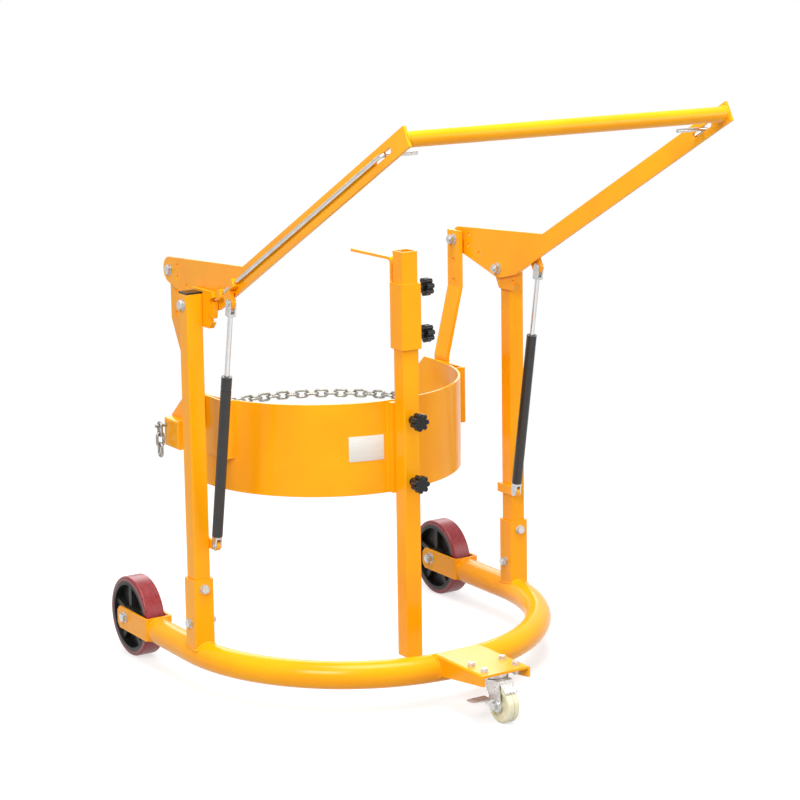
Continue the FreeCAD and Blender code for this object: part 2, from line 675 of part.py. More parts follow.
def lever_plate(side):
    half_arm = ARM_WIDTH / 2 / math.cos(ARM_SLOPE)
    tip_z = ARM_FRONT_Z - half_arm - (PLATE_TIP_Y - PLATE_FRONT_Y) * math.tan(ARM_SLOPE)
    body = plate_yz([(PLATE_FRONT_Y, ARM_FRONT_Z - half_arm, 0),
                     (PLATE_TIP_Y, tip_z + PLATE_CORNER_R, PLATE_CORNER_R),
                     (0, PIVOT_Z, PIVOT_LOBE_R), (HANGER_BOLT_Y, HANGER_BOLT_Z, HANGER_LOBE_R),
                     (PLATE_FRONT_Y, ARM_FRONT_Z + half_arm, 0)], LEVER_IN, LEVER_OUT)
    holes = [(0, PIVOT_Z, M12_R + RUN_FIT), (HANGER_BOLT_Y, HANGER_BOLT_Z, M12_R + RUN_FIT)]
    for share in PLATE_HOLE_SHARES:
        holes.append((HANGER_BOLT_Y * share, PIVOT_Z + (HANGER_BOLT_Z - PIVOT_Z) * share, PLATE_HOLE_R))
    upper_y, upper_z, _ = holes[-1]
    holes.append((upper_y, upper_z + PLATE_HOLE_RISE, PLATE_HOLE_R))
    return sided(cut_all(body, [rod_x(0, RING_X, y, z, r) for y, z, r in holes]), side)


def lever_arm(side):
    """Flat bar from the plate to just past the crossbar, with a slot for the plunger's bent end."""
    half = ARM_WIDTH / 2
    start = arm_point(0)
    reach = ARM_LENGTH_FROM_FOOT + ARM_PAST
    corners = [arm_point(along, up) for along, up in ((0, -half), (0, half), (reach, half), (reach, -half))]
    bar = prism_yz([(c.y, c.z) for c in corners], LEVER_IN, LEVER_OUT)
    low, high = start.z - ARM_WIDTH, ARM_FRONT_Z + ARM_WIDTH
    bar = bar.cut(box(0, RING_X, PLATE_FRONT_Y, start.y + ARM_WIDTH, low, high))
    slot_r = SLOT_WIDTH / 2
    upper = arm_point(ARM_LENGTH_FROM_FOOT - SLOT_END - slot_r)
    lower = arm_point(ARM_LENGTH_FROM_FOOT - SLOT_END - SLOT_LENGTH + slot_r)
    slot = plate_yz([(upper.y, upper.z, slot_r), (lower.y, lower.z, slot_r)], 0, RING_X)
    return sided(bar.cut(slot), side)


def crossbar():
    start, end = V(-LEVER_IN, CROSSBAR_Y, CROSSBAR_Z), V(LEVER_IN, CROSSBAR_Y, CROSSBAR_Z)
    return rod(start, end, CROSSBAR_R).cut(rod(start, end, CROSSBAR_R - CROSSBAR_WALL))


def hanger_bolts():
    grip = LEVER_OUT - HANGER_IN
    solids = bolt_set(V(LEVER_OUT, HANGER_BOLT_Y, HANGER_BOLT_Z), V(-1, 0, 0), grip + PART_GAP,
                      M12_R, M12_FLATS, M12_HEAD - WASHER_THICK, M12_NUT, M12_WASHER_R)
    spacer = rod_x(HANGER_OUT + PART_GAP, LEVER_IN, HANGER_BOLT_Y, HANGER_BOLT_Z, M12_WASHER_R)
    spacer = spacer.cut(rod_x(0, RING_X, HANGER_BOLT_Y, HANGER_BOLT_Z, M12_R + RUN_FIT))
    return solids + [spacer] + [mirrored(s) for s in solids + [spacer]]


def spring_tabs():
    """Tabs welded under the arms, which carry the gas springs' heads."""
    eye = SPRING_HEAD - V(SPRING_X, 0, 0) - ARM_DIR * TAB_SLOT_BACK + ARM_UP * TAB_SLOT_RISE
    along = (eye - ARM_FOOT).dot(ARM_DIR)
    low_edge = -ARM_WIDTH / 2
    half = TAB_LENGTH / 2
    top_corners = [arm_point(along + s * half, low_edge + TAB_TOP) for s in (-1, 1)]
    tongue = plate_yz([(eye.y, eye.z, TAB_EYE_R)] + [(c.y, c.z, 0) for c in top_corners],
                      POST_IN - LUG_THICK, POST_IN)
    pad_corners = top_corners + [arm_point(along + s * half, low_edge + TAB_PAD_FOOT) for s in (1, -1)]
    pad = prism_yz([(c.y, c.z) for c in pad_corners], LEVER_OUT, POST_IN - LUG_THICK)
    slot_r = TAB_SLOT_WIDTH / 2
    ends = [eye + ARM_DIR * (s * (TAB_SLOT_LENGTH / 2 - slot_r)) for s in (-1, 1)]
    slot = plate_yz([(e.y, e.z, slot_r) for e in ends], 0, RING_X)
    return pair(tongue.fuse(pad).removeSplitter().cut(slot))


def plunger_guides():
    bore = rod(arm_point(0, 0, PLUNGER_X), arm_point(ARM_REACH, 0, PLUNGER_X), PLUNGER_R + RUN_FIT)
    half = GUIDE_HEIGHT / 2
    blocks = []
    for start in GUIDE_STARTS:
        end = start + GUIDE_LENGTH
        places = ((start, -half), (start, half), (end, half), (end, -half))
        corners = [arm_point(along, up) for along, up in places]
        block = prism_yz([(c.y, c.z) for c in corners], LEVER_OUT, PLUNGER_X + PLUNGER_R + GUIDE_WALL)
        blocks += pair(block.cut(bore))
    return blocks


def plunger(side):
    """Round bar along the arm, bent through the slot into a finger lever."""
    turn_at = ARM_LENGTH_FROM_FOOT - PLUNGER_STOP
    tip = arm_point(TIP_START, 0, PLUNGER_X)
    before = arm_point(turn_at - PLUNGER_BEND_R, 0, PLUNGER_X)
    corner = arm_point(turn_at, 0, PLUNGER_X)
    after = corner - V(PLUNGER_BEND_R, 0, 0)
    centre = before - V(PLUNGER_BEND_R, 0, 0)
    middle = centre + (V(1, 0, 0) + ARM_DIR) * (PLUNGER_BEND_R / math.sqrt(2))
    end = V(LEVER_IN - FINGER_REACH, corner.y, corner.z)
    path = Part.Wire([Part.LineSegment(tip, before).toShape(), Part.Arc(before, middle, after).toShape(),
                      Part.LineSegment(after, end).toShape()])
    section = Part.Wire(Part.makeCircle(PLUNGER_R, tip, ARM_DIR))
    bar = path.makePipeShell([section], True, False)
    return sided(bar, side)


# Gas springs

def along_spring(distance):
    return SPRING_FOOT + SPRING_DIR * distance


def clevis(pin, direction, slot_depth):
    """Fork drawn with its pin at the origin and its stem along +Z, then set on the spring's line."""
    half = CLEVIS_WIDTH / 2
    slot_half = LUG_THICK / 2 + PART_GAP
    ear = slot_half + CLEVIS_EAR
    body = box(-ear, ear, -half, half, 0, slot_depth + CLEVIS_NECK)
    eye = rod(V(-ear, 0, 0), V(ear, 0, 0), half)
    body = body.fuse(eye).removeSplitter()
    body = body.cut(box(-slot_half, slot_half, -half - OVERRUN, half + OVERRUN, -half - OVERRUN, slot_depth))
    body = body.cut(rod(V(-ear - OVERRUN, 0, 0), V(ear + OVERRUN, 0, 0), SPRING_PIN_R + RUN_FIT))
    angle = math.degrees(math.atan2(-direction.y, direction.z))
    body.rotate(V(0, 0, 0), V(1, 0, 0), angle)
    body.translate(pin)
    return body


def gas_cylinder(side):
    foot = CLEVIS_FOOT_DEPTH + CLEVIS_NECK
    outer = rod(along_spring(foot), along_spring(CYLINDER_TOP), CYLINDER_R)
    groove_top = CYLINDER_TOP - CYLINDER_GROOVE_FROM_TOP
    groove = rod(along_spring(groove_top - CYLINDER_GROOVE_WIDTH), along_spring(groove_top), CYLINDER_R)
    groove = groove.cut(rod(along_spring(0), along_spring(CYLINDER_TOP), CYLINDER_R - CYLINDER_GROOVE_DEPTH))
    bore = rod(along_spring(foot + CYLINDER_END), along_spring(CYLINDER_TOP - CYLINDER_END),
               CYLINDER_R - CYLINDER_WALL)
    above = along_spring(CYLINDER_TOP + OVERRUN)
    gland = rod(along_spring(foot + CYLINDER_END), above, SPRING_ROD_R + RUN_FIT)
    return sided(cut_all(outer, [groove, bore, gland]), side)


def lower_clevis(side):
    return sided(clevis(SPRING_FOOT, SPRING_DIR, CLEVIS_FOOT_DEPTH), side)


def gas_rod(side):
    """Chrome rod with its piston inside the cylinder."""
    top = SPRING_LENGTH - CLEVIS_HEAD_DEPTH - CLEVIS_NECK
    foot = CYLINDER_TOP - ROD_INSIDE
    bar = rod(along_spring(foot), along_spring(top), SPRING_ROD_R)
    piston_r = CYLINDER_R - CYLINDER_WALL - RUN_FIT
    piston = rod(along_spring(foot), along_spring(foot + PISTON_LENGTH), piston_r)
    return sided(bar.fuse(piston).removeSplitter(), side)


def upper_clevis(side):
    fork = clevis(SPRING_HEAD, SPRING_DIR * -1, CLEVIS_HEAD_DEPTH)
    return [sided(s, side) for s in (fork, clevis_pin(SPRING_HEAD))]


# Hangers

def hanger(side):
    """Flat bar from the lever's rear bolt, joggled inwards to the holder's trunnion."""
    half = HANGER_WIDTH / 2
    top = HANGER_BOLT_Z + HANGER_TOP_EDGE
    foot = TRUNNION_Z - half
    inner = [(HANGER_IN, top), (HANGER_IN, HANGER_BOLT_Z - HANGER_TOP_STRAIGHT),
             (HANGER_FOOT_IN, TRUNNION_Z + HANGER_FOOT_STRAIGHT), (HANGER_FOOT_IN, foot)]
    outer = [(x + HANGER_THICK, z) for x, z in inner]
    start = HANGER_BOLT_Y - half
    profile = [V(x, start, z) for x, z in inner + outer[::-1]]
    strip = Part.Face(Part.makePolygon(profile + profile[:1])).extrude(V(0, HANGER_WIDTH, 0))
    outline = [(HANGER_BOLT_Y, TRUNNION_Z, half), (HANGER_BOLT_Y + half, top, 0), (start, top, 0)]
    bar = strip.common(plate_yz(outline, 0, RING_X))
    holes = [(HANGER_BOLT_Z, M12_R + RUN_FIT), (TRUNNION_Z, TRUNNION_R + RUN_FIT)]
    for k in range(HANGER_HOLE_COUNT):
        holes.append((HANGER_BOLT_Z - (k + 1) * HANGER_HOLE_STEP, M12_R))
    return sided(cut_all(bar, [rod_x(0, RING_X, HANGER_BOLT_Y, z, r) for z, r in holes]), side)


# Holder

def drum_cylinder(radius, z0, z1):
    return Part.makeCylinder(radius, z1 - z0, V(0, DRUM_Y, z0))


def drum_band():
    ring = drum_cylinder(BAND_R, BAND_FOOT, BAND_TOP).cut(drum_cylinder(DRUM_R, BAND_FOOT, BAND_TOP))
    return ring.common(box(-2 * BAND_R, 2 * BAND_R, DRUM_Y - 2 * BAND_R, DRUM_Y, BAND_FOOT, BAND_TOP))


def band_bracket(side):
    """Side plate on the band's end, with its front edge folded in to the band."""
    foot = BAND_TOP - BRACKET_HEIGHT
    rear_top = BAND_TOP - BRACKET_REAR_TOP
    corners = [(BRACKET_FRONT_Y, foot), (BRACKET_REAR_Y, foot), (BRACKET_REAR_Y, rear_top),
               (BRACKET_SLOPE_Y, BAND_TOP), (BRACKET_FRONT_Y, BAND_TOP)]
    side_plate = prism_yz(corners, BRACKET_IN, BRACKET_OUT)
    fold = box(0, BRACKET_OUT, BRACKET_FRONT_Y, BRACKET_FRONT_Y + BRACKET_THICK, foot, BAND_TOP)
    fold = fold.cut(drum_cylinder(BAND_R, foot - OVERRUN, BAND_TOP + OVERRUN))
    return sided(side_plate.fuse(fold).removeSplitter(), side)


def trunnion_pins():
    """Stub shafts welded to the brackets, each with a collar and an end cap."""
    collar_end = HANGER_FOOT_IN - PART_GAP
    cap_start = HANGER_FOOT_IN + HANGER_THICK + PART_GAP
    cap_end = cap_start + TRUNNION_CAP

    def stub(x0, x1, radius):
        return rod_x(x0, x1, HANGER_BOLT_Y, TRUNNION_Z, radius)

    shaft = stub(BRACKET_OUT, cap_end, TRUNNION_R)
    collar = stub(BRACKET_OUT, collar_end, TRUNNION_COLLAR_R)
    cap = stub(cap_start, cap_end, TRUNNION_CAP_R)
    cap = round_edges(cap, TRUNNION_CAP / 3, lambda e: is_rim(e) and e.CenterOfMass.x > cap_end - RUN_FIT)
    return pair(fuse_all([shaft, collar, cap]))


def mast_pad():
    half = PAD_WIDTH / 2
    block = box(-half, half, MAST_BACK, DRUM_Y, BAND_FOOT + PAD_EDGE, BAND_TOP - PAD_EDGE)
    block = block.cut(drum_cylinder(BAND_R, BAND_FOOT, BAND_TOP))
    block = block.common(box(-half, half, MAST_BACK, DRUM_Y - BAND_R / 2, BAND_FOOT, BAND_TOP))
    return cut_all(block, mast_knob_holes())


def mast_knob_holes():
    return [rod(V(0, MAST_Y - MAST_SIZE, z), V(0, MAST_BACK + MAST_BACK_GAP, z), KNOB_STUD_R + RUN_FIT)
            for z in MAST_KNOB_HEIGHTS]


def mast():
    tube = square_tube(0, MAST_Y, MAST_SIZE, MAST_WALL, MAST_FOOT, MAST_TOP, POST_ROUND)
    return cut_all(tube, mast_knob_holes())


def binder_box():
    """Chain binder's casing on the left bracket, with a slot for the chain in its rear end."""
    x0, x1 = BRACKET_OUT, BRACKET_OUT + BINDER_DEPTH
    casing = box(x0, x1, BINDER_FRONT_Y, BINDER_REAR_Y, BINDER_TOP - BINDER_HEIGHT, BINDER_TOP)
    casing = round_edges(casing, BINDER_ROUND, lambda e: e.CenterOfMass.x > x1 - RUN_FIT)
    middle = BINDER_TOP - BINDER_HEIGHT / 2
    half = BINDER_SLOT_WIDTH / 2
    slot = box(x0 - OVERRUN, x0 + BINDER_SLOT_HEIGHT, BINDER_REAR_Y - BINDER_SLOT_DEPTH,
               BINDER_REAR_Y + OVERRUN, middle - half, middle + half)
    return mirrored(casing.cut(slot))


def chain_link():
    """One link lying along X, wide in Y; its inside is a pitch long, with a little play."""
    bow = LINK_WIDTH / 2 - LINK_WIRE_R
    straight = (LINK_PITCH + PART_GAP) / 2 + LINK_WIRE_R - bow
    path = Part.Wire([
        Part.LineSegment(V(-straight, bow, 0), V(straight, bow, 0)).toShape(),
        Part.Arc(V(straight, bow, 0), V(straight + bow, 0, 0), V(straight, -bow, 0)).toShape(),
        Part.LineSegment(V(straight, -bow, 0), V(-straight, -bow, 0)).toShape(),
        Part.Arc(V(-straight, -bow, 0), V(-straight - bow, 0, 0), V(-straight, bow, 0)).toShape()])
    section = Part.Wire(Part.makeCircle(LINK_WIRE_R, V(-straight, bow, 0), V(1, 0, 0)))
    return path.makePipeShell([section], True, False)


def set_link(point, heading, roll):
    """Place a link: heading turns it about Z, roll turns it about its own length."""
    link = chain_link()
    link.rotate(V(0, 0, 0), V(1, 0, 0), roll)
    link.rotate(V(0, 0, 0), V(0, 0, 1), heading)
    link.translate(point)
    return link


def chain():
    """Links on their working line round the drum, the two eyes that hold them, and the free tail."""
    solids = []
    for k in range(CHAIN_LINKS):
        angle = EYE_ANGLE + (EYE_R - EYE_WIRE_R + LINK_PITCH / 2 + k * LINK_PITCH) / CHAIN_R
        point = V(CHAIN_R * math.cos(angle), DRUM_Y + CHAIN_R * math.sin(angle), CHAIN_Z)
        solids.append(set_link(point, math.degrees(angle) + 90.0, 90.0 * ((k + 1) % 2)))
    return solids + chain_eyes() + chain_tail()


def chain_eyes():
    """Rings welded inside the brackets' rear ends, each through the last link."""
    centre = V(CHAIN_R * math.cos(EYE_ANGLE), DRUM_Y + CHAIN_R * math.sin(EYE_ANGLE), CHAIN_Z)
    ring = Part.makeTorus(EYE_R, EYE_WIRE_R, centre, V(0, 0, 1))
    stem = rod(centre + V(EYE_R, 0, 0), V(BRACKET_IN, centre.y, CHAIN_Z), EYE_WIRE_R)
    return pair(fuse_all([ring, stem]))


def chain_tail():
    """Hook on the binder's side with the spare links hanging from it."""
    x = -(BRACKET_OUT + BINDER_DEPTH + TAIL_X_GAP + LINK_WIDTH / 2)
    y = BINDER_REAR_Y - LINK_WIDTH / 2
    top = V(x, y, BINDER_TOP - LINK_PITCH)
    solids = []
    for k in range(TAIL_LINKS):
        link = chain_link()
        link.rotate(V(0, 0, 0), V(1, 0, 0), 90.0 * (k % 2))
        link.rotate(V(0, 0, 0), V(0, 1, 0), 90.0)
        link.translate(top - V(0, 0, k * LINK_PITCH))
        solids.append(link)
    peg_z = top.z + LINK_PITCH / 2 - TAIL_HOOK_R - PART_GAP
    peg = rod(V(-(BRACKET_OUT + BINDER_DEPTH), y, peg_z), V(x - LINK_WIDTH / 2, y, peg_z), TAIL_HOOK_R)
    return solids + [peg]


# Rim hook

def sleeve_knob_holes():
    return [rod_x(0, SLEEVE_SIZE, MAST_Y, z, KNOB_STUD_R + RUN_FIT) for z in SLEEVE_KNOB_HEIGHTS]


def hook_sleeve():
    tube = square_tube(0, MAST_Y, SLEEVE_SIZE, SLEEVE_WALL, SLEEVE_FOOT, SLEEVE_TOP, POST_ROUND)
    return cut_all(tube, sleeve_knob_holes())


def hook_bar():
    """Flat bar welded up the sleeve's back and bent over the drum's rim."""
    y0, y1 = SLEEVE_BACK, SLEEVE_BACK + HOOK_THICK
    end = y0 + HOOK_REACH
    half = HOOK_WIDTH / 2
    foot, top = SLEEVE_TOP - HOOK_LAP, SLEEVE_TOP + HOOK_RISE
    under = top - HOOK_THICK
    outline = prism_yz([(y0, foot), (y1, foot), (y1, under), (end, under), (end, top), (y0, top)],
                       -half, half)
    corners = {(y0, top): HOOK_BEND_R, (y1, under): HOOK_BEND_R - HOOK_THICK}
    for (y, z), radius in corners.items():
        corner = V(0, y, z)
        outline = round_edges(outline, radius, lambda e: e.CenterOfMass.distanceToPoint(corner) < RUN_FIT)
    return outline


# Knobs

def star_knob(seat, direction, stud):
    """Lobed knob with its neck on the seat and a threaded stud into the tube."""
    ring_r = KNOB_R - KNOB_LOBE_R
    head = Part.makeCylinder(ring_r, KNOB_HEIGHT, V(0, 0, KNOB_NECK))
    lobes = []
    for k in range(KNOB_LOBES):
        angle = 2 * math.pi * k / KNOB_LOBES
        lobes.append(Part.makeCylinder(KNOB_LOBE_R, KNOB_HEIGHT,
                                       V(ring_r * math.cos(angle), ring_r * math.sin(angle), KNOB_NECK)))
    head = fuse_all([head] + lobes)
    top = KNOB_NECK + KNOB_HEIGHT
    head = round_edges(head, KNOB_ROUND, lambda e: abs(e.CenterOfMass.z - top) < RUN_FIT)
    neck = Part.makeCylinder(KNOB_NECK_R, KNOB_NECK)
    screw = Part.makeCylinder(KNOB_STUD_R, stud, V(0, 0, -stud))
    return placed(fuse_all([head, neck, screw]), seat, direction)


def mast_knob(z):
    face = V(0, MAST_Y - MAST_SIZE / 2 - PART_GAP, z)
    return star_knob(face, V(0, -1, 0), MAST_SIZE + MAST_BACK_GAP / 2)


def sleeve_knob(z):
    face = V(SLEEVE_SIZE / 2 + PART_GAP, MAST_Y, z)
    return star_knob(face, V(1, 0, 0), SLEEVE_WALL + SLIDE_FIT)


# Front caster

def caster_channel():
    """Folded plate that lies on the ring tube and carries the caster, with tapered side flanges."""
    half = CHANNEL_WIDTH / 2
    rear = RING_BEND_Y - RING_X
    top = box(-half, half, CHANNEL_FRONT_Y, rear, CHANNEL_UNDER, CHANNEL_TOP)
    flange = prism_yz([(CHANNEL_FRONT_Y, CHANNEL_TOP), (CHANNEL_FRONT_Y, CHANNEL_TOP - FLANGE_FRONT),
                       (rear, CHANNEL_TOP - FLANGE_REAR), (rear, CHANNEL_TOP)], half - CHANNEL_PLATE, half)
    body = fuse_all([top] + pair(flange))
    body = round_edges(body, CHANNEL_PLATE, lambda e: runs_along(e, "y")
                       and abs(e.CenterOfMass.z - CHANNEL_TOP) < RUN_FIT
                       and abs(abs(e.CenterOfMass.x) - half) < RUN_FIT)
    body = body.cut(ring_solid(RING_TUBE_R))
    body = max(body.Solids, key=lambda s: s.Volume)
    return cut_all(body, caster_bolt_holes())


def caster_bolt_places():
    half_x, half_y = CASTER_BOLT_X / 2, CASTER_BOLT_Y / 2
    return [(sx * half_x, CASTER_Y + sy * half_y) for sx in (-1, 1) for sy in (-1, 1)]


def caster_bolt_holes():
    return [rod(V(x, y, 0), V(x, y, CHANNEL_TOP + OVERRUN), M8_R + RUN_FIT) for x, y in caster_bolt_places()]


def caster_bolts():
    solids = []
    for x, y in caster_bolt_places():
        solids += bolt_set(V(x, y, CHANNEL_TOP), V(0, 0, -1), CHANNEL_PLATE + CASTER_PLATE_THICK,
                           M8_R, M8_FLATS, M8_HEAD, M8_NUT, M8_WASHER_R)
    return solids


def caster_disc(radius, z0, z1):
    return Part.makeCylinder(radius, z1 - z0, V(0, CASTER_Y, z0))


def caster_head():
    """Top plate with its ball race, and the kingpin riveted through the fork."""
    half_x, half_y = CASTER_PLATE_X / 2, CASTER_PLATE_Y / 2
    top = box(-half_x, half_x, CASTER_Y - half_y, CASTER_Y + half_y, CASTER_PLATE_FOOT, CHANNEL_UNDER)
    top = round_edges(top, M8_R, lambda e: runs_along(e, "z"))
    race_foot = CASTER_FORK_TOP + RACE_GAP
    race = caster_disc(RACE_OUTER_R, race_foot, CASTER_PLATE_FOOT)
    race = race.cut(caster_disc(RACE_INNER_R, race_foot - OVERRUN, CASTER_PLATE_FOOT))
    pin_foot = CASTER_FORK_TOP - CASTER_FORK_PLATE - RACE_GAP
    pin = caster_disc(KINGPIN_R, pin_foot - KINGPIN_HEAD, CASTER_PLATE_FOOT)
    rivet = caster_disc(KINGPIN_HEAD_R, pin_foot - KINGPIN_HEAD, pin_foot)
    plate = cut_all(top.fuse(race).removeSplitter(), caster_bolt_holes())
    return fuse_all([plate, pin, rivet])


def caster_fork():
    """Pressed fork: round top plate and two legs down to the axle."""
    leg_in = CASTER_WHEEL_WIDTH / 2 + CASTER_FORK_GAP
    leg_out = leg_in + CASTER_FORK_PLATE
    top_low = CASTER_FORK_TOP - CASTER_FORK_PLATE
    crown = caster_disc(CASTER_FORK_TOP_R, top_low, CASTER_FORK_TOP)
    reach = box(-leg_out, leg_out, CASTER_WHEEL_Y - CASTER_LEG_R / 2, CASTER_Y, top_low, CASTER_FORK_TOP)
    leg = plate_yz([(CASTER_WHEEL_Y, CASTER_WHEEL_R, CASTER_LEG_R),
                    (CASTER_Y + CASTER_LEG_R, CASTER_FORK_TOP, 0),
                    (CASTER_WHEEL_Y - CASTER_LEG_R / 2, CASTER_FORK_TOP, 0)], leg_in, leg_out)
    body = fuse_all([crown, reach] + pair(leg))
    body = body.cut(caster_disc(KINGPIN_R + RUN_FIT, 0, CASTER_FORK_TOP + OVERRUN))
    return body.cut(rod_x(-2 * leg_out, 2 * leg_out, CASTER_WHEEL_Y, CASTER_WHEEL_R, M10_R + RUN_FIT))


def caster_axle():
    leg_out = CASTER_WHEEL_WIDTH / 2 + CASTER_FORK_GAP + CASTER_FORK_PLATE
    pedal_side = leg_out + PEDAL_PLATE + 2 * PART_GAP
    return bolt_set(V(-pedal_side, CASTER_WHEEL_Y, CASTER_WHEEL_R), V(1, 0, 0), pedal_side + leg_out,
                    M10_R, M10_FLATS, M10_HEAD, M10_NUT, M10_WASHER_R)


def caster_wheel():
    centre = V(0, CASTER_WHEEL_Y, CASTER_WHEEL_R)
    half = V(CASTER_WHEEL_WIDTH / 2, 0, 0)
    dish = V(CASTER_WHEEL_DISH, 0, 0)
    body = rod(centre - half, centre + half, CASTER_WHEEL_R)
    body = round_edges(body, CASTER_WHEEL_ROUND, is_rim)
    hub_r = M10_FLATS / 2 + M10_R / 2
    for sign in (-1, 1):
        face = centre + half * sign
        hollow = rod(face - dish * sign, face, CASTER_WHEEL_DISH_R).cut(rod(face - dish * sign, face, hub_r))
        body = body.cut(hollow)
    return body.cut(rod(centre - half, centre + half, M10_R + RUN_FIT))


def brake_plate():
    """Toothed spring plate under the fork's top, which the pedal presses on the tread."""
    half = CASTER_WHEEL_WIDTH / 2 + CASTER_FORK_GAP - PART_GAP
    front = CASTER_WHEEL_Y - CASTER_LEG_R / 2
    under = CASTER_FORK_TOP - CASTER_FORK_PLATE
    tab = box(-half, half, front, front + BRAKE_PLATE_TAB, under - BRAKE_PLATE_THICK, under)
    to_axle_y = CASTER_WHEEL_Y - front
    to_axle_z = CASTER_WHEEL_R - (under - BRAKE_PLATE_THICK)
    lean = math.asin((CASTER_WHEEL_R + BRAKE_PLATE_GAP) / math.hypot(to_axle_y, to_axle_z))
    heading = math.atan2(to_axle_z, to_axle_y) - lean
    down = V(0, math.cos(heading), math.sin(heading))
    outward = V(0, math.sin(heading), -math.cos(heading))
    inner = V(0, front, under - BRAKE_PLATE_THICK)
    end = inner + down * BRAKE_PLATE_LENGTH
    corners = [inner, end, end + outward * BRAKE_PLATE_THICK, V(0, front, under)]
    blade = prism_yz([(c.y, c.z) for c in corners], -half, half)
    pitch = 2 * half / BRAKE_TOOTH_COUNT
    notches = []
    for k in range(BRAKE_TOOTH_COUNT):
        middle = -half + (k + 0.5) * pitch
        low = end - down * BRAKE_TOOTH_DEPTH - outward * BRAKE_PLATE_THICK
        far = low + down * (BRAKE_TOOTH_DEPTH + OVERRUN)
        depth = outward * (3 * BRAKE_PLATE_THICK)
        notches.append(prism_yz([(c.y, c.z) for c in (low, far, far + depth, low + depth)],
                                middle - BRAKE_TOOTH_WIDTH / 2, middle + BRAKE_TOOTH_WIDTH / 2))
    return cut_all(tab.fuse(blade).removeSplitter(), notches)


def brake_pedal():
    """Side lever on the axle with a foot pad folded outwards."""
    inside = -(CASTER_WHEEL_WIDTH / 2 + CASTER_FORK_GAP + CASTER_FORK_PLATE + PART_GAP)
    tip_y = CASTER_WHEEL_Y + PEDAL_LENGTH
    tip_z = CASTER_WHEEL_R + PEDAL_RISE
    lever = plate_yz([(CASTER_WHEEL_Y, CASTER_WHEEL_R, PEDAL_HUB_R), (tip_y, tip_z, PEDAL_TIP_R)],
                     inside - PEDAL_PLATE, inside)
    lever = lever.cut(rod_x(2 * inside, 0, CASTER_WHEEL_Y, CASTER_WHEEL_R, M10_R + RUN_FIT))
    top = tip_z + PEDAL_TIP_R
    pad = box(inside - PEDAL_PAD, inside, tip_y + PEDAL_TIP_R - PEDAL_PAD_LENGTH, tip_y + PEDAL_TIP_R,
              top - PEDAL_PLATE, top)
    middle = inside - PEDAL_PAD / 2
    pad = round_edges(pad, PEDAL_TIP_R, lambda e: runs_along(e, "z") and e.CenterOfMass.x < middle)
    return lever.fuse(pad).removeSplitter()


SIDES = {"left": -1, "right": 1}
SINGLE = {
    "base_ring": base_ring, "rear_axles": rear_axles, "post_caps": post_caps, "socket_bolts": socket_bolts,
    "spring_lugs": spring_lugs, "lower_pins": lower_pins, "latch_sectors": latch_sectors,
    "pivot_bolts": pivot_bolts, "crossbar": crossbar, "hanger_bolts": hanger_bolts,
    "spring_tabs": spring_tabs, "plunger_guides": plunger_guides, "drum_band": drum_band,
    "trunnion_pins": trunnion_pins,
    "mast_pad": mast_pad, "mast": mast, "binder_box": binder_box, "chain": chain, "hook_sleeve": hook_sleeve,
    "hook_bar": hook_bar, "caster_channel": caster_channel, "caster_bolts": caster_bolts,
    "caster_head": caster_head, "caster_fork": caster_fork, "caster_axle": caster_axle,
    "caster_wheel": caster_wheel, "brake_plate": brake_plate, "brake_pedal": brake_pedal,
}
SIDED = {
    "wheel_fork": wheel_fork, "wheel_core": wheel_core, "wheel_tyre": wheel_tyre, "post_socket": post_socket,
    "post": post, "lever_plate": lever_plate, "lever_arm": lever_arm, "plunger": plunger,
    "gas_cylinder": gas_cylinder, "lower_clevis": lower_clevis, "gas_rod": gas_rod,
    "upper_clevis": upper_clevis, "hanger": hanger, "band_bracket": band_bracket,
}


def main():
    os.makedirs("parts", exist_ok=True)
    for name, make in SINGLE.items():
        save(name, make())
    for name, make in SIDED.items():
        for side_name, side in SIDES.items():
            save(name + "_" + side_name, make(side))
    for level, z in zip(("low", "high"), MAST_KNOB_HEIGHTS):
        save("mast_knob_" + level, mast_knob(z))
    for level, z in zip(("low", "high"), SLEEVE_KNOB_HEIGHTS):
        save("sleeve_knob_" + level, sleeve_knob(z))


main()
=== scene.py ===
import math

import bpy
from mathutils import Matrix, Vector


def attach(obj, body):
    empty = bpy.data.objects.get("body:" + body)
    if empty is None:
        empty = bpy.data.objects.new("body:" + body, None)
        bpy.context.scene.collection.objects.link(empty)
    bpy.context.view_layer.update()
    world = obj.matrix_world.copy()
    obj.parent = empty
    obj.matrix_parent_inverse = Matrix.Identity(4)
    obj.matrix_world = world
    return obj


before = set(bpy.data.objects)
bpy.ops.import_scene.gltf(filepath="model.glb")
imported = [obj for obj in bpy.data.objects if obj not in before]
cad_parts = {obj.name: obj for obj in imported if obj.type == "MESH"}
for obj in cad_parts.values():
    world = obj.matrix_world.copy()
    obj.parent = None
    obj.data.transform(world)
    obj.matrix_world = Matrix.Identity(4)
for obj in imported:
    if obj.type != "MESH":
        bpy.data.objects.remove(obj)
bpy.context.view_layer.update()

MM = 0.001
IMAGE = 800             # pixels along each side of the picture
WHITE = "#FFFFFF"

# Places shared with the CAD source
BAND_AXIS_Y = 302 * MM
BAND_OUTER_R = 298 * MM
POST_X = 398 * MM
POST_Y = 152 * MM
RING_BEND_Y = 190 * MM
RING_Z = 76 * MM
RING_TUBE_R = 28.5 * MM
REAR_AXLE_Y = 442 * MM
REAR_AXLE_Z = 87 * MM
WHEEL_R = 87 * MM
ARM_SLOPE = math.radians(28.53)


def linear(hex_colour):
    """sRGB hex to the linear colour that a shader takes."""
    shares = [int(hex_colour[i:i + 2], 16) / 255 for i in (1, 3, 5)]
    return [s / 12.92 if s <= 0.04045 else ((s + 0.055) / 1.055) ** 2.4 for s in shares] + [1.0]


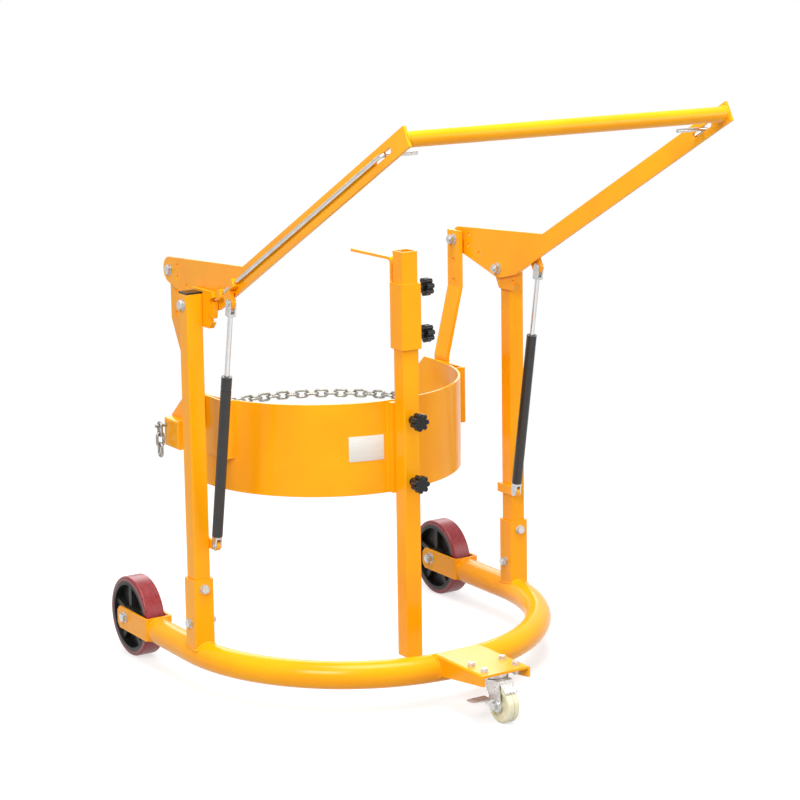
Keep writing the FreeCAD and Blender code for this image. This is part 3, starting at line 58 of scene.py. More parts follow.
def per_metre(size_mm):
    """Texture scale whose pattern repeats about every size_mm."""
    return 1 / (size_mm * MM)


def add(tree, kind, settings=None, links=None):
    """Add a node. Settings are its properties, its input values or, as tones, a ramp's pairs of share and
    colour; links are input: (node, output)."""
    node = tree.nodes.new(kind)
    for key, value in (settings or {}).items():
        if key == "tones":
            for stop, (share, colour) in zip(node.color_ramp.elements, value):
                stop.position = share
                stop.color = linear(colour)
        elif isinstance(key, str) and hasattr(node, key):
            setattr(node, key, value)
        else:
            node.inputs[key].default_value = value
    for key, (source, output) in (links or {}).items():
        tree.links.new(source.outputs[output], node.inputs[key])
    return node


def start_finish(name):
    """A new material; returns it with its node tree and its Object coordinates."""
    finish = bpy.data.materials.new(name)
    finish.use_nodes = True
    finish.node_tree.nodes.clear()
    place = add(finish.node_tree, "ShaderNodeTexCoord")
    return finish, finish.node_tree, (place, "Object")


def end_finish(finish, values, links):
    """Give a material its shader, with its constant values and the nodes that feed it."""
    bsdf = add(finish.node_tree, "ShaderNodeBsdfPrincipled", values, links)
    add(finish.node_tree, "ShaderNodeOutputMaterial", links={"Surface": (bsdf, "BSDF")})
    return finish


# Finishes. A noise is mostly between these two shares, so colours and roughness run from one to the other.
LOW_SHARE = 0.3
HIGH_SHARE = 0.7

COAT_TONES = [(LOW_SHARE, "#FFA309"), (HIGH_SHARE, "#FFAE0D")]
# Painted highlight: a paler yellow mixed in along each rounded edge, where light catches it
COAT_EDGE_HIGHLIGHT_COLOUR = "#FFC545"
COAT_EDGE_HIGHLIGHT_SHARE = 0.35  # most of the edge colour that shows
COAT_EDGE_R = 1.2 * MM
COAT_FLAT_COSINE = 0.99
COAT_EDGE_COSINE = 0.8
COAT_POOL_MM = 140
COAT_PEEL_MM = 2.5      # orange peel is about 1 mm; drawn coarser so that it shows
COAT_PEEL_DEPTH = 0.3 * MM


def amber_powder_coat():
    """Polyester powder coat, sprayed on steel and baked. It gives an even amber gloss with fine
    orange peel, a little more colour where the coat pooled, and a painted highlight: a paler thin line along
    each edge."""
    finish, tree, place = start_finish("amber_powder_coat")
    pooled = add(tree, "ShaderNodeTexNoise", {"Scale": per_metre(COAT_POOL_MM), "Detail": 3.0},
                 {"Vector": place})
    body = add(tree, "ShaderNodeValToRGB", {"tones": COAT_TONES}, {"Fac": (pooled, "Fac")})
    edge_round = add(tree, "ShaderNodeBevel", {"samples": 4, "Radius": COAT_EDGE_R})
    flat = add(tree, "ShaderNodeNewGeometry")
    same = add(tree, "ShaderNodeVectorMath", {"operation": "DOT_PRODUCT"},
               {0: (edge_round, "Normal"), 1: (flat, "Normal")})
    # Painted highlight mask: the pale edge colour shows where the rounded normal turns away from the face
    edge = add(tree, "ShaderNodeMapRange",
               {"From Min": COAT_FLAT_COSINE, "From Max": COAT_EDGE_COSINE, "To Max": COAT_EDGE_HIGHLIGHT_SHARE},
               {"Value": (same, "Value")})
    colour = add(tree, "ShaderNodeMix", {"data_type": "RGBA", 7: linear(COAT_EDGE_HIGHLIGHT_COLOUR)},
                 {0: (edge, "Result"), 6: (body, "Color")})
    gloss = add(tree, "ShaderNodeMapRange",
                {"From Min": LOW_SHARE, "From Max": HIGH_SHARE, "To Min": 0.16, "To Max": 0.26},
                {"Value": (pooled, "Fac")})
    peel = add(tree, "ShaderNodeTexNoise", {"Scale": per_metre(COAT_PEEL_MM), "Detail": 2.0},
               {"Vector": place})
    bump = add(tree, "ShaderNodeBump", {"Strength": 0.04, "Distance": COAT_PEEL_DEPTH},
               {"Height": (peel, "Fac"), "Normal": (edge_round, "Normal")})
    return end_finish(finish, {"IOR": 1.5, "Specular IOR Level": 0.2},
                      {"Base Color": (colour, 2), "Roughness": (gloss, "Result"), "Normal": (bump, "Normal")})


ZINC_CLOUD_MM = 5
ZINC_DULL_SHARE = 0.35
ZINC_GRAIN_MM = 0.8     # plating grain is finer than 0.1 mm; drawn coarser so that it shows
ZINC_GRAIN_DEPTH = 0.1 * MM
ZINC_EDGE_R = 0.5 * MM


def zinc_plate(name, metallic, dull, bright, shine):
    """Zinc plate on steel: grey metal with cloudy passivation. Tumbled chain is more matt than fasteners,
    and the pressings are paler and less metallic as a painted white reflection; shine is the lowest and
    highest roughness."""
    finish, tree, place = start_finish(name)
    cloud = add(tree, "ShaderNodeTexNoise", {"Scale": per_metre(ZINC_CLOUD_MM), "Detail": 4.0},
                {"Vector": place})
    tint = add(tree, "ShaderNodeValToRGB", {"tones": [(ZINC_DULL_SHARE, dull), (HIGH_SHARE, bright)]},
               {"Fac": (cloud, "Fac")})
    rough = add(tree, "ShaderNodeMapRange",
                {"From Min": LOW_SHARE, "From Max": HIGH_SHARE, "To Min": shine[0], "To Max": shine[1]},
                {"Value": (cloud, "Fac")})
    edge_round = add(tree, "ShaderNodeBevel", {"samples": 4, "Radius": ZINC_EDGE_R})
    grain = add(tree, "ShaderNodeTexNoise", {"Scale": per_metre(ZINC_GRAIN_MM), "Detail": 2.0},
                {"Vector": place})
    bump = add(tree, "ShaderNodeBump", {"Strength": 0.08, "Distance": ZINC_GRAIN_DEPTH},
               {"Height": (grain, "Fac"), "Normal": (edge_round, "Normal")})
    return end_finish(finish, {"Metallic": metallic},
                      {"Base Color": (tint, "Color"), "Roughness": (rough, "Result"),
                       "Normal": (bump, "Normal")})


DRAW_TONES = [(LOW_SHARE, "#A9AAAB"), (HIGH_SHARE, "#CFCFCD")]
DRAW_LINE_MM = 0.9      # draw lines are under 0.1 mm apart; drawn coarser so that they show
DRAW_STRETCH = 30       # a line's length, of its width


def drawn_bar():
    """Bright drawn steel bar: fine lines along the draw and a soft mirror between them."""
    finish, tree, place = start_finish("bright_drawn_steel")
    along = {"vector_type": "TEXTURE", "Rotation": (-ARM_SLOPE, 0, 0), "Scale": (1, DRAW_STRETCH, 1)}
    drawn = add(tree, "ShaderNodeMapping", along, {"Vector": place})
    lines = add(tree, "ShaderNodeTexNoise", {"Scale": per_metre(DRAW_LINE_MM), "Detail": 2.0},
                {"Vector": (drawn, "Vector")})
    tint = add(tree, "ShaderNodeValToRGB", {"tones": DRAW_TONES}, {"Fac": (lines, "Fac")})
    rough = add(tree, "ShaderNodeMapRange",
                {"From Min": LOW_SHARE, "From Max": HIGH_SHARE, "To Min": 0.14, "To Max": 0.3},
                {"Value": (lines, "Fac")})
    return end_finish(finish, {"Metallic": 1.0},
                      {"Base Color": (tint, "Color"), "Roughness": (rough, "Result")})


CHROME_TONES = [(0, "#BDBFC1"), (1, "#DADBDB")]
CHROME_FILM_MM = 14
CHROME_CLEAN_SHARE = 0.35


def chrome_rod():
    """Hard chrome on a ground rod: a clear mirror with a thin uneven film of oil."""
    finish, tree, place = start_finish("hard_chrome")
    film = add(tree, "ShaderNodeTexNoise", {"Scale": per_metre(CHROME_FILM_MM), "Detail": 3.0},
               {"Vector": place})
    tint = add(tree, "ShaderNodeValToRGB", {"tones": CHROME_TONES}, {"Fac": (film, "Fac")})
    rough = add(tree, "ShaderNodeMapRange",
                {"From Min": CHROME_CLEAN_SHARE, "From Max": HIGH_SHARE, "To Min": 0.05, "To Max": 0.14},
                {"Value": (film, "Fac")})
    return end_finish(finish, {"Metallic": 1.0},
                      {"Base Color": (tint, "Color"), "Roughness": (rough, "Result")})


ENAMEL_TONES = [(LOW_SHARE, "#1C1B1B"), (HIGH_SHARE, "#272625")]
ENAMEL_MOTTLE_MM = 20
ENAMEL_GRAIN_MM = 1.5   # enamel texture is under 1 mm; drawn coarser so that it shows
ENAMEL_GRAIN_DEPTH = 0.2 * MM


def black_cylinder_paint():
    """Satin black stove enamel on drawn tube: dark grey, with a faint mottle and soft shine."""
    finish, tree, place = start_finish("satin_black_enamel")
    mottle = add(tree, "ShaderNodeTexNoise", {"Scale": per_metre(ENAMEL_MOTTLE_MM), "Detail": 4.0},
                 {"Vector": place})
    tint = add(tree, "ShaderNodeValToRGB", {"tones": ENAMEL_TONES}, {"Fac": (mottle, "Fac")})
    rough = add(tree, "ShaderNodeMapRange",
                {"From Min": LOW_SHARE, "From Max": HIGH_SHARE, "To Min": 0.3, "To Max": 0.44},
                {"Value": (mottle, "Fac")})
    grain = add(tree, "ShaderNodeTexNoise", {"Scale": per_metre(ENAMEL_GRAIN_MM)}, {"Vector": place})
    bump = add(tree, "ShaderNodeBump", {"Strength": 0.1, "Distance": ENAMEL_GRAIN_DEPTH},
               {"Height": (grain, "Fac")})
    return end_finish(finish, {"IOR": 1.5},
                      {"Base Color": (tint, "Color"), "Roughness": (rough, "Result"),
                       "Normal": (bump, "Normal")})


SCUFF_HIGH_SHARE = 0.75
TYRE_TONES = [(LOW_SHARE, "#721620"), (SCUFF_HIGH_SHARE, "#8C232B")]
TREAD_COLOUR = "#A4363A"
TREAD_INNER_R = WHEEL_R - 3 * MM
TREAD_OUTER_R = WHEEL_R - 0.5 * MM
SCUFF_MM = 6
SCUFF_DEPTH = 0.3 * MM
SCUFF_LOW_SHARE = 0.35
TYRE_SCATTER = 2 * MM   # depth to which light enters


def red_polyurethane():
    """Cast polyurethane tyre, turned on its tread: deep red sides, a paler scuffed tread and rim line."""
    finish, tree, place = start_finish("cast_polyurethane")
    to_axle = {"Location": (0, -REAR_AXLE_Y, -REAR_AXLE_Z), "Scale": (0, 1, 1)}
    on_axle = add(tree, "ShaderNodeMapping", to_axle, {"Vector": place})
    radius = add(tree, "ShaderNodeVectorMath", {"operation": "LENGTH"}, {0: (on_axle, "Vector")})
    tread = add(tree, "ShaderNodeMapRange", {"From Min": TREAD_INNER_R, "From Max": TREAD_OUTER_R},
                {"Value": (radius, "Value")})
    scuff = add(tree, "ShaderNodeTexNoise", {"Scale": per_metre(SCUFF_MM), "Detail": 5.0, "Roughness": 0.65},
                {"Vector": place})
    worn = add(tree, "ShaderNodeMapRange",
               {"From Min": SCUFF_LOW_SHARE, "From Max": SCUFF_HIGH_SHARE, "To Min": 0.1, "To Max": 0.9},
               {"Value": (scuff, "Fac")})
    share = add(tree, "ShaderNodeMath", {"operation": "MULTIPLY"},
                {0: (tread, "Result"), 1: (worn, "Result")})
    side = add(tree, "ShaderNodeValToRGB", {"tones": TYRE_TONES}, {"Fac": (scuff, "Fac")})
    colour = add(tree, "ShaderNodeMix", {"data_type": "RGBA", 7: linear(TREAD_COLOUR)},
                 {0: (share, "Value"), 6: (side, "Color")})
    rough = add(tree, "ShaderNodeMapRange", {"To Min": 0.26, "To Max": 0.46}, {"Value": (share, "Value")})
    bump = add(tree, "ShaderNodeBump", {"Strength": 0.2, "Distance": SCUFF_DEPTH}, {"Height": (scuff, "Fac")})
    return end_finish(finish, {"IOR": 1.49, "Subsurface Weight": 0.05, "Subsurface Scale": TYRE_SCATTER},
                      {"Base Color": (colour, 2), "Roughness": (rough, "Result"), "Normal": (bump, "Normal")})


CORE_TONES = [(0.4, "#191919"), (0.75, "#262421")]
CORE_SAND_MM = 2
CORE_SAND_DEPTH = 0.4 * MM
CORE_DUST_MM = 30


def black_cast_core():
    """Sand-cast iron under thin black paint: a grainy near-black skin, dusty in patches."""
    finish, tree, place = start_finish("painted_cast_iron")
    sand = add(tree, "ShaderNodeTexNoise", {"Scale": per_metre(CORE_SAND_MM), "Detail": 4.0},
               {"Vector": place})
    dust = add(tree, "ShaderNodeTexNoise", {"Scale": per_metre(CORE_DUST_MM), "Detail": 3.0},
               {"Vector": place})
    tint = add(tree, "ShaderNodeValToRGB", {"tones": CORE_TONES}, {"Fac": (dust, "Fac")})
    rough = add(tree, "ShaderNodeMapRange",
                {"From Min": LOW_SHARE, "From Max": HIGH_SHARE, "To Min": 0.38, "To Max": 0.6},
                {"Value": (dust, "Fac")})
    bump = add(tree, "ShaderNodeBump", {"Strength": 0.35, "Distance": CORE_SAND_DEPTH},
               {"Height": (sand, "Fac")})
    return end_finish(finish, {"IOR": 1.5, "Specular IOR Level": 0.35},
                      {"Base Color": (tint, "Color"), "Roughness": (rough, "Result"),
                       "Normal": (bump, "Normal")})


NYLON_TONES = [(LOW_SHARE, "#E0D8B0"), (HIGH_SHARE, "#EDE8CB")]
NYLON_LINE_COLOUR = "#8F8566"
NYLON_LINE_SHARE = 0.55
NYLON_LINE_OUTER = 0.9 * MM
NYLON_LINE_INNER = 0.4 * MM
NYLON_CLOUD_MM = 12
NYLON_CLOUD_DEPTH = 0.3 * MM
NYLON_SCATTER = 3 * MM


def cream_nylon():
    """Moulded cast nylon: waxy cream that lets a little light in, with a thin dark line at mid tread."""
    finish, tree, place = start_finish("cast_nylon")
    split = add(tree, "ShaderNodeSeparateXYZ", links={"Vector": place})
    off_middle = add(tree, "ShaderNodeMath", {"operation": "ABSOLUTE"}, {0: (split, "X")})
    line = add(tree, "ShaderNodeMapRange",
               {"From Min": NYLON_LINE_OUTER, "From Max": NYLON_LINE_INNER, "To Max": NYLON_LINE_SHARE},
               {"Value": (off_middle, "Value")})
    cloud = add(tree, "ShaderNodeTexNoise", {"Scale": per_metre(NYLON_CLOUD_MM), "Detail": 4.0},
                {"Vector": place})
    tint = add(tree, "ShaderNodeValToRGB", {"tones": NYLON_TONES}, {"Fac": (cloud, "Fac")})
    colour = add(tree, "ShaderNodeMix", {"data_type": "RGBA", 7: linear(NYLON_LINE_COLOUR)},
                 {0: (line, "Result"), 6: (tint, "Color")})
    bump = add(tree, "ShaderNodeBump", {"Strength": 0.12, "Distance": NYLON_CLOUD_DEPTH},
               {"Height": (cloud, "Fac")})
    values = {"IOR": 1.53, "Subsurface Weight": 0.15, "Subsurface Scale": NYLON_SCATTER, "Roughness": 0.38}
    return end_finish(finish, values, {"Base Color": (colour, 2), "Normal": (bump, "Normal")})


MOULDING_TONES = [(0, "#0C0C0D"), (1, "#1A1A1B")]
SPARK_MM = 0.7          # spark texture is about 0.1 mm; drawn coarser so that it shows
SPARK_DEPTH = 0.15 * MM
MOULDING_EDGE_R = 0.8 * MM


def black_moulding():
    """Glass-filled nylon moulding: black with a fine spark-eroded texture and satin shine."""
    finish, tree, place = start_finish("moulded_nylon")
    spark = add(tree, "ShaderNodeTexNoise", {"Scale": per_metre(SPARK_MM), "Detail": 2.0}, {"Vector": place})
    tint = add(tree, "ShaderNodeValToRGB", {"tones": MOULDING_TONES}, {"Fac": (spark, "Fac")})
    rough = add(tree, "ShaderNodeMapRange", {"To Min": 0.18, "To Max": 0.3}, {"Value": (spark, "Fac")})
    edge_round = add(tree, "ShaderNodeBevel", {"samples": 4, "Radius": MOULDING_EDGE_R})
    bump = add(tree, "ShaderNodeBump", {"Strength": 0.15, "Distance": SPARK_DEPTH},
               {"Height": (spark, "Fac"), "Normal": (edge_round, "Normal")})
    return end_finish(finish, {"IOR": 1.53, "Specular IOR Level": 0.3},
                      {"Base Color": (tint, "Color"), "Roughness": (rough, "Result"),
                       "Normal": (bump, "Normal")})


PLATE_TONES = [(LOW_SHARE, "#D6D5CF"), (HIGH_SHARE, "#E2E1DA")]
BRUSH_MM = 0.6          # brush lines are about 0.05 mm apart; drawn coarser so that they show
BRUSH_SHARE = 0.02      # a line's width, of its length


def blank_plate_face():
    """White lacquer on aluminium sheet, brushed from side to side first, so that fine lines show through."""
    finish, tree, place = start_finish("lacquered_aluminium")
    brushed = add(tree, "ShaderNodeMapping", {"Scale": (BRUSH_SHARE, BRUSH_SHARE, 1)}, {"Vector": place})
    lines = add(tree, "ShaderNodeTexNoise", {"Scale": per_metre(BRUSH_MM), "Detail": 3.0},
                {"Vector": (brushed, "Vector")})
    tint = add(tree, "ShaderNodeValToRGB", {"tones": PLATE_TONES}, {"Fac": (lines, "Fac")})
    rough = add(tree, "ShaderNodeMapRange", {"To Min": 0.3, "To Max": 0.5}, {"Value": (lines, "Fac")})
    return end_finish(finish, {"IOR": 1.5},
                      {"Base Color": (tint, "Color"), "Roughness": (rough, "Result")})


AMBER = amber_powder_coat()
ZINC = zinc_plate("zinc_plated_bolts", 0.85, "#B4B8BD", "#D2D2CD", (0.28, 0.46))
# Pressings: paler and less metallic than the bolts, a painted white reflection where zinc would mirror the
# amber above it
PRESSED_PAINTED_REFLECTION = zinc_plate("zinc_pressings_painted_reflection", 0.6, "#D0D2D4", "#EAEAE6", (0.26, 0.44))
LINKED = zinc_plate("zinc_plated_chain", 0.9, "#83847F", "#B4B3AA", (0.3, 0.5))
BRIGHT = drawn_bar()
CHROME = chrome_rod()
ENAMEL = black_cylinder_paint()
TYRE = red_polyurethane()
CORE = black_cast_core()
NYLON = cream_nylon()
MOULDING = black_moulding()
PLATE = blank_plate_face()

# Every node of the CAD model and its finish; names ending in an underscore stand for a left and a right one
FINISHES = {
    AMBER: ["base_ring", "wheel_fork_", "caster_channel", "post_socket_", "post_left", "post_right",
            "spring_lugs", "latch_sectors", "lever_plate_", "lever_arm_", "crossbar", "spring_tabs",
            "plunger_guides", "hanger_left", "hanger_right", "drum_band", "band_bracket_", "trunnion_pins",
            "mast_pad", "mast", "binder_box", "hook_sleeve", "hook_bar"],
    ZINC: ["caster_bolts", "socket_bolts", "lower_pins", "pivot_bolts", "rear_axles", "hanger_bolts",
           "lower_clevis_", "upper_clevis_", "caster_axle"],
    PRESSED_PAINTED_REFLECTION: ["caster_head", "caster_fork", "brake_plate", "brake_pedal"],
    LINKED: ["chain"],
    BRIGHT: ["plunger_left", "plunger_right"],
    CHROME: ["gas_rod_"],
    ENAMEL: ["gas_cylinder_"],
    TYRE: ["wheel_tyre_"],
    CORE: ["wheel_core_"],
    NYLON: ["caster_wheel"],
    MOULDING: ["post_caps", "mast_knob_low", "mast_knob_high", "sleeve_knob_low", "sleeve_knob_high"],
}
for finish, names in FINISHES.items():
    for name in names:
        sides = [name + "left", name + "right"] if name.endswith("_") else [name]
        for node in sides:
            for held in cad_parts[node].material_slots:
                held.material = finish


# New pieces

def start_piece():
    """Leave edit mode and deselect everything before a new primitive."""
    if bpy.context.mode != "OBJECT":
        bpy.ops.object.mode_set(mode="OBJECT")
    bpy.ops.object.select_all(action="DESELECT")


def settle(name, finish, body):
    """Name the active piece, put its place in its mesh, give it its finish and let it ride."""
    piece = bpy.context.active_object
    bpy.ops.object.transform_apply(location=True, rotation=True, scale=True)
    piece.name = name
    piece.data.name = name
    piece.data.materials.clear()
    piece.data.materials.append(finish)
    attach(piece, body)


def apply_modifier(kind, name, settings):
    modifier = bpy.context.active_object.modifiers.new(name, kind)
    for key, value in settings.items():
        setattr(modifier, key, value)
    bpy.ops.object.modifier_apply(modifier=name)


def keep_side(point, normal):
    """Cut the active mesh by a plane and keep the side that the normal points to."""
    bpy.ops.mesh.select_all(action="SELECT")
    bpy.ops.mesh.bisect(plane_co=point, plane_no=normal, clear_inner=True, clear_outer=False)


PLATE_LEFT = -108 * MM
PLATE_RIGHT = -34 * MM
PLATE_FOOT = 467 * MM
PLATE_TOP = 520 * MM
PLATE_MIDDLE = (0, BAND_AXIS_Y, (PLATE_TOP + PLATE_FOOT) / 2)
PLATE_R = BAND_OUTER_R + 0.1 * MM
PLATE_THICK = 0.8 * MM
PLATE_EDGE = 0.2 * MM
PLATE_FACETS = 360      # round a full turn
PLATE_SMOOTH = math.radians(30)
MERGE = 0.01 * MM


def rating_plate():
    """Blank plate on the band, rolled to the band's curve."""
    start_piece()
    bpy.ops.mesh.primitive_cylinder_add(vertices=PLATE_FACETS, radius=PLATE_R, depth=PLATE_TOP - PLATE_FOOT,
                                        end_fill_type="NOTHING", location=PLATE_MIDDLE)
    bpy.ops.object.transform_apply(location=True)
    bpy.ops.object.mode_set(mode="EDIT")
    keep_side((0, BAND_AXIS_Y, 0), (0, -1, 0))
    keep_side((PLATE_LEFT, 0, 0), (1, 0, 0))
    keep_side((PLATE_RIGHT, 0, 0), (-1, 0, 0))
    bpy.ops.mesh.select_all(action="SELECT")
    bpy.ops.mesh.remove_doubles(threshold=MERGE)
    bpy.ops.mesh.normals_make_consistent(inside=False)
    bpy.ops.object.mode_set(mode="OBJECT")
    apply_modifier("SOLIDIFY", "sheet", {"thickness": PLATE_THICK, "offset": 1.0})
    apply_modifier("BEVEL", "edge", {"width": PLATE_EDGE, "segments": 2, "limit_method": "ANGLE"})
    bpy.ops.object.shade_smooth_by_angle(angle=PLATE_SMOOTH)
    settle("rating_plate", PLATE, "holder")


WELD_R = 2.6 * MM
WELD_PITCH_SHARE = 0.8  # step between scales, of a scale's radius
SCALE_FLAT_SHARE = 0.7  # a scale's length along the weld, of its width
SCALE_FACETS = 12
SCALE_RINGS = 8
WELD_VOXEL = 0.7 * MM


def weld_run(name, line, body):
    """Painted weld: overlapping flat scales along a line of points, melted into one bead."""
    start_piece()
    bpy.ops.mesh.primitive_uv_sphere_add(segments=SCALE_FACETS, ring_count=SCALE_RINGS, radius=WELD_R)
    scale = bpy.context.active_object
    bpy.ops.object.mode_set(mode="EDIT")
    bpy.ops.transform.resize(value=(SCALE_FLAT_SHARE, 1, 1))
    bpy.ops.object.mode_set(mode="OBJECT")
    copies = []
    for first, last in zip(line, line[1:]):
        run = Vector(last) - Vector(first)
        steps = max(1, round(run.length / (WELD_R * WELD_PITCH_SHARE)))
        for k in range(steps):
            copy = scale.copy()
            copy.data = scale.data.copy()
            copy.location = Vector(first) + run * (k / steps)
            copy.rotation_euler = run.to_track_quat("X", "Z").to_euler()
            bpy.context.scene.collection.objects.link(copy)
            copies.append(copy)
    scale.location = line[-1]
    scale.rotation_euler = run.to_track_quat("X", "Z").to_euler()
    for copy in copies:
        copy.select_set(True)
    bpy.ops.object.join()
    bpy.ops.object.transform_apply(location=True, rotation=True, scale=True)
    apply_modifier("REMESH", "melt", {"mode": "VOXEL", "voxel_size": WELD_VOXEL})
    bpy.ops.object.shade_smooth()
    settle(name, AMBER, body)


# Lines that the welds follow
SOCKET_HALF = 22.4 * MM
SOCKET_FOOT = 94.5 * MM
SOCKET_STEPS = 12       # along each side of a socket
CHANNEL_HALF = 57 * MM
CHANNEL_REAR_Y = -208 * MM
CHANNEL_TOP = 107.5 * MM
LEVER_INNER_X = 361 * MM
CROSSBAR_Y = -598 * MM
CROSSBAR_Z = 1201 * MM
CROSSBAR_R = 15 * MM
FORK_FRONT_Y = 340 * MM
BRACKET_FOLD_X = 280 * MM
BRACKET_FOLD_Y = 200 * MM
BRACKET_FOOT = 466 * MM
BAND_FOOT = 395 * MM
BAND_TOP = 590 * MM
PAD_HALF = 25 * MM
HOOK_HALF = 18 * MM
HOOK_FOOT = 715 * MM
SLEEVE_TOP = 840 * MM
SLEEVE_BACK_Y = -8.1 * MM
FORK_ARC = (-40, 220)   # degrees
FLANGE_ARC = (95, 205)
FULL_ARC = (0, 360)
ARC_STEPS = 24
RING_AT_CHANNEL_Y = RING_BEND_Y - math.sqrt(POST_X ** 2 - CHANNEL_HALF ** 2)
BAND_AT_PAD_Y = BAND_AXIS_Y - math.sqrt(BAND_OUTER_R ** 2 - PAD_HALF ** 2)


def ring_height(x, y):
    """Height of the base tube's upper surface over a point near the posts."""
    off = math.hypot(x, RING_BEND_Y - y) - POST_X if y < RING_BEND_Y else abs(x) - POST_X
    return RING_Z + math.sqrt(max(RING_TUBE_R ** 2 - off ** 2, 0))


def socket_line(side):
    """Round the post socket's foot, where it sits on the base tube."""
    corners = [(-1, -1), (1, -1), (1, 1), (-1, 1), (-1, -1)]
    line = []
    for (a0, b0), (a1, b1) in zip(corners, corners[1:]):
        for k in range(SOCKET_STEPS):
            share = k / SOCKET_STEPS
            x = side * (POST_X + SOCKET_HALF * (a0 + (a1 - a0) * share))
            y = POST_Y + SOCKET_HALF * (b0 + (b1 - b0) * share)
            line.append((x, y, max(ring_height(x, y), SOCKET_FOOT - WELD_R)))
    return line + line[:1]


def arc_line(centre, radius, arc, across):
    """Arc about an axis along X or Y through a centre; across names that axis."""
    line = []
    for k in range(ARC_STEPS + 1):
        angle = math.radians(arc[0] + (arc[1] - arc[0]) * k / ARC_STEPS)
        a = radius * math.cos(angle)
        b = radius * math.sin(angle)
        offset = Vector((0, a, b)) if across == "X" else Vector((a, 0, b))
        line.append(Vector(centre) + offset)
    return line


def upright_line(x, y, foot, top):
    return [(x, y, foot), (x, y, top)]


def all_welds():
    for side, name in ((-1, "left"), (1, "right")):
        weld_run("socket_weld_" + name, socket_line(side), "base")
        fork = arc_line((side * POST_X, FORK_FRONT_Y, RING_Z), RING_TUBE_R, FORK_ARC, "Y")
        weld_run("fork_weld_" + name, fork, "base")
        flange = arc_line((side * CHANNEL_HALF, RING_AT_CHANNEL_Y, RING_Z), RING_TUBE_R, FLANGE_ARC, "X")
        weld_run("channel_weld_" + name, flange, "base")
        bar_end = arc_line((side * LEVER_INNER_X, CROSSBAR_Y, CROSSBAR_Z), CROSSBAR_R, FULL_ARC, "X")
        weld_run("crossbar_weld_" + name, bar_end, "lever")
        fold = upright_line(side * BRACKET_FOLD_X, BRACKET_FOLD_Y, BRACKET_FOOT + WELD_R, BAND_TOP - WELD_R)
        weld_run("bracket_weld_" + name, fold, "holder")
        pad = upright_line(side * PAD_HALF, BAND_AT_PAD_Y, BAND_FOOT + 2 * WELD_R, BAND_TOP - 2 * WELD_R)
        weld_run("pad_weld_" + name, pad, "holder")
        hook = upright_line(side * HOOK_HALF, SLEEVE_BACK_Y, HOOK_FOOT, SLEEVE_TOP)
        weld_run("hook_weld_" + name, hook, "rim_hook")
    rear = [(x, CHANNEL_REAR_Y, CHANNEL_TOP - WELD_R) for x in (-CHANNEL_HALF, CHANNEL_HALF)]
    weld_run("channel_weld_rear", rear, "base")


rating_plate()
all_welds()


# Stage, light and camera

def white_rays(tree):
    """1 for rays that see the background: from the camera, in reflections and through clear things."""
    path = add(tree, "ShaderNodeLightPath")
    seen = add(tree, "ShaderNodeMath", {"operation": "MAXIMUM"},
               {0: (path, "Is Camera Ray"), 1: (path, "Is Glossy Ray")})
    return add(tree, "ShaderNodeMath", {"operation": "MAXIMUM"},
               {0: (seen, "Value"), 1: (path, "Is Transmission Ray")})


FLOOR_SIZE = 140.0
FLOOR_COLOUR = "#B0B0B0"
FLOOR_LIFT = 0.66       # light added to the floor where it is seen
FLOOR_FADE_START = 1.0  # from here out to the end the floor turns to the background's white
FLOOR_FADE_END = 2.6


def studio_floor():
    start_piece()
    bpy.ops.mesh.primitive_plane_add(size=FLOOR_SIZE, location=(0, 0, 0))
    floor = bpy.context.active_object
    floor.name = "studio_floor"
    paint, tree, place = start_finish("floor_paint")
    paint.cycles.emission_sampling = "NONE"  # its white is only seen, and lights nothing
    matt = add(tree, "ShaderNodeBsdfDiffuse", {"Color": linear(FLOOR_COLOUR)})
    glow = add(tree, "ShaderNodeEmission", {"Strength": FLOOR_LIFT})
    lifted = add(tree, "ShaderNodeAddShader", links={0: (matt, "BSDF"), 1: (glow, "Emission")})
    out = add(tree, "ShaderNodeVectorMath", {"operation": "LENGTH"}, {0: place})
    far = add(tree, "ShaderNodeMapRange",
              {"From Min": FLOOR_FADE_START, "From Max": FLOOR_FADE_END, "interpolation_type": "SMOOTHSTEP"},
              {"Value": (out, "Value")})
    white = add(tree, "ShaderNodeEmission", {"Strength": 1.0})
    faded = add(tree, "ShaderNodeMixShader",
                links={0: (far, "Result"), 1: (lifted, "Shader"), 2: (white, "Emission")})
    shown = add(tree, "ShaderNodeMixShader",
                links={0: (white_rays(tree), "Value"), 1: (matt, "BSDF"), 2: (faded, "Shader")})
    add(tree, "ShaderNodeOutputMaterial", links={"Surface": (shown, "Shader")})
    floor.data.materials.append(paint)


WORLD_LIGHT = 0.32


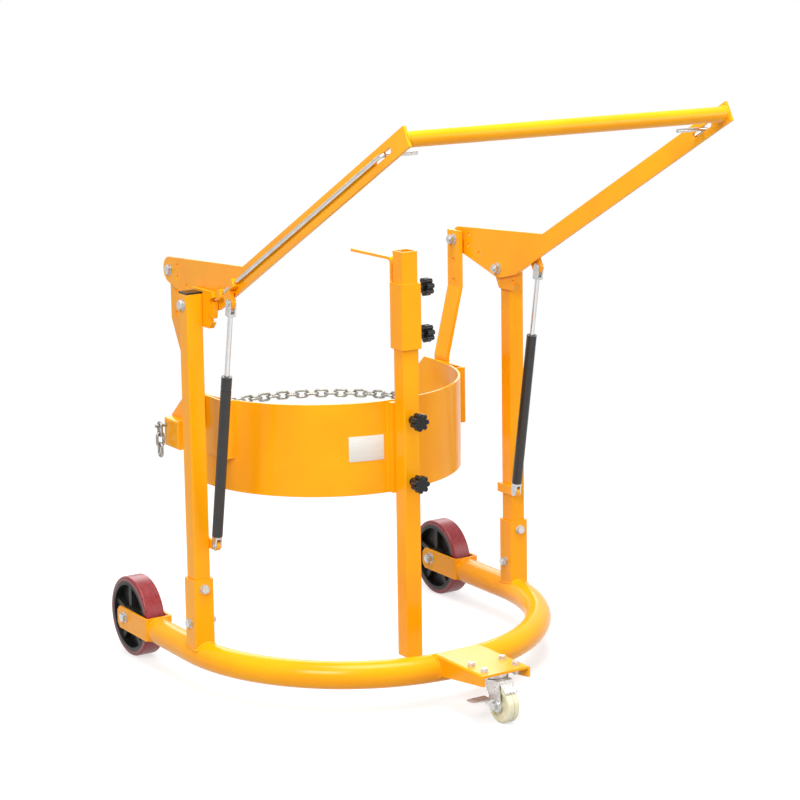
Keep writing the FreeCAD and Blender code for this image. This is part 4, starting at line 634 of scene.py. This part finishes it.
def studio_world():
    world = bpy.data.worlds.new("studio")
    bpy.context.scene.world = world
    world.use_nodes = True
    tree = world.node_tree
    tree.nodes.clear()
    soft = add(tree, "ShaderNodeBackground", {"Strength": WORLD_LIGHT, "Color": linear(WHITE)})
    white = add(tree, "ShaderNodeBackground", {"Strength": 1.0, "Color": linear(WHITE)})
    shown = add(tree, "ShaderNodeMixShader",
                links={0: (white_rays(tree), "Value"), 1: (soft, "Background"), 2: (white, "Background")})
    add(tree, "ShaderNodeOutputWorld", links={"Surface": (shown, "Shader")})


AIM = Vector((0, 0, 0.6))
# Name, place, size and watts
SOFTBOXES = [
    ("key_softbox", (-3.1, -2.3, 2.9), 1.6, 124.0),
    ("fill_softbox", (2.6, -3.2, 1.9), 2.0, 42.0),
    ("top_softbox", (-0.1, -0.6, 3.6), 1.8, 118.0),
    ("rear_softbox", (1.6, 3.6, 2.6), 2.4, 62.0),
]


def softboxes():
    for name, place, size, watts in SOFTBOXES:
        lamp = bpy.data.lights.new(name, "AREA")
        lamp.size = size
        lamp.energy = watts
        holder = bpy.data.objects.new(name, lamp)
        holder.location = place
        holder.rotation_euler = (AIM - Vector(place)).to_track_quat("-Z", "Y").to_euler()
        bpy.context.scene.collection.objects.link(holder)


EYE = Vector((-2576, -4033, 1614)) * MM
EYE_TURN = math.radians(-32.64)
EYE_DIP = math.radians(9.76)
EYE_ROLL = math.radians(-0.845)
FOCAL_PIXELS = 2358
SENSOR = 36.0
AXIS_ROW = 304          # picture row that the optical axis meets
CLIP_END = 200.0


def photo_camera():
    lens = bpy.data.cameras.new("photo_camera")
    lens.sensor_width = SENSOR
    lens.lens = FOCAL_PIXELS * SENSOR / IMAGE
    lens.shift_y = (AXIS_ROW - IMAGE / 2) / IMAGE
    lens.clip_end = CLIP_END
    eye = bpy.data.objects.new("photo_camera", lens)
    turn = Matrix.Rotation(EYE_TURN, 4, "Z") @ Matrix.Rotation(math.pi / 2 - EYE_DIP, 4, "X")
    eye.matrix_world = Matrix.Translation(EYE) @ turn @ Matrix.Rotation(EYE_ROLL, 4, "Z")
    bpy.context.scene.collection.objects.link(eye)
    bpy.context.scene.camera = eye


studio_floor()
studio_world()
softboxes()
photo_camera()
bpy.context.scene.view_settings.view_transform = "Standard"
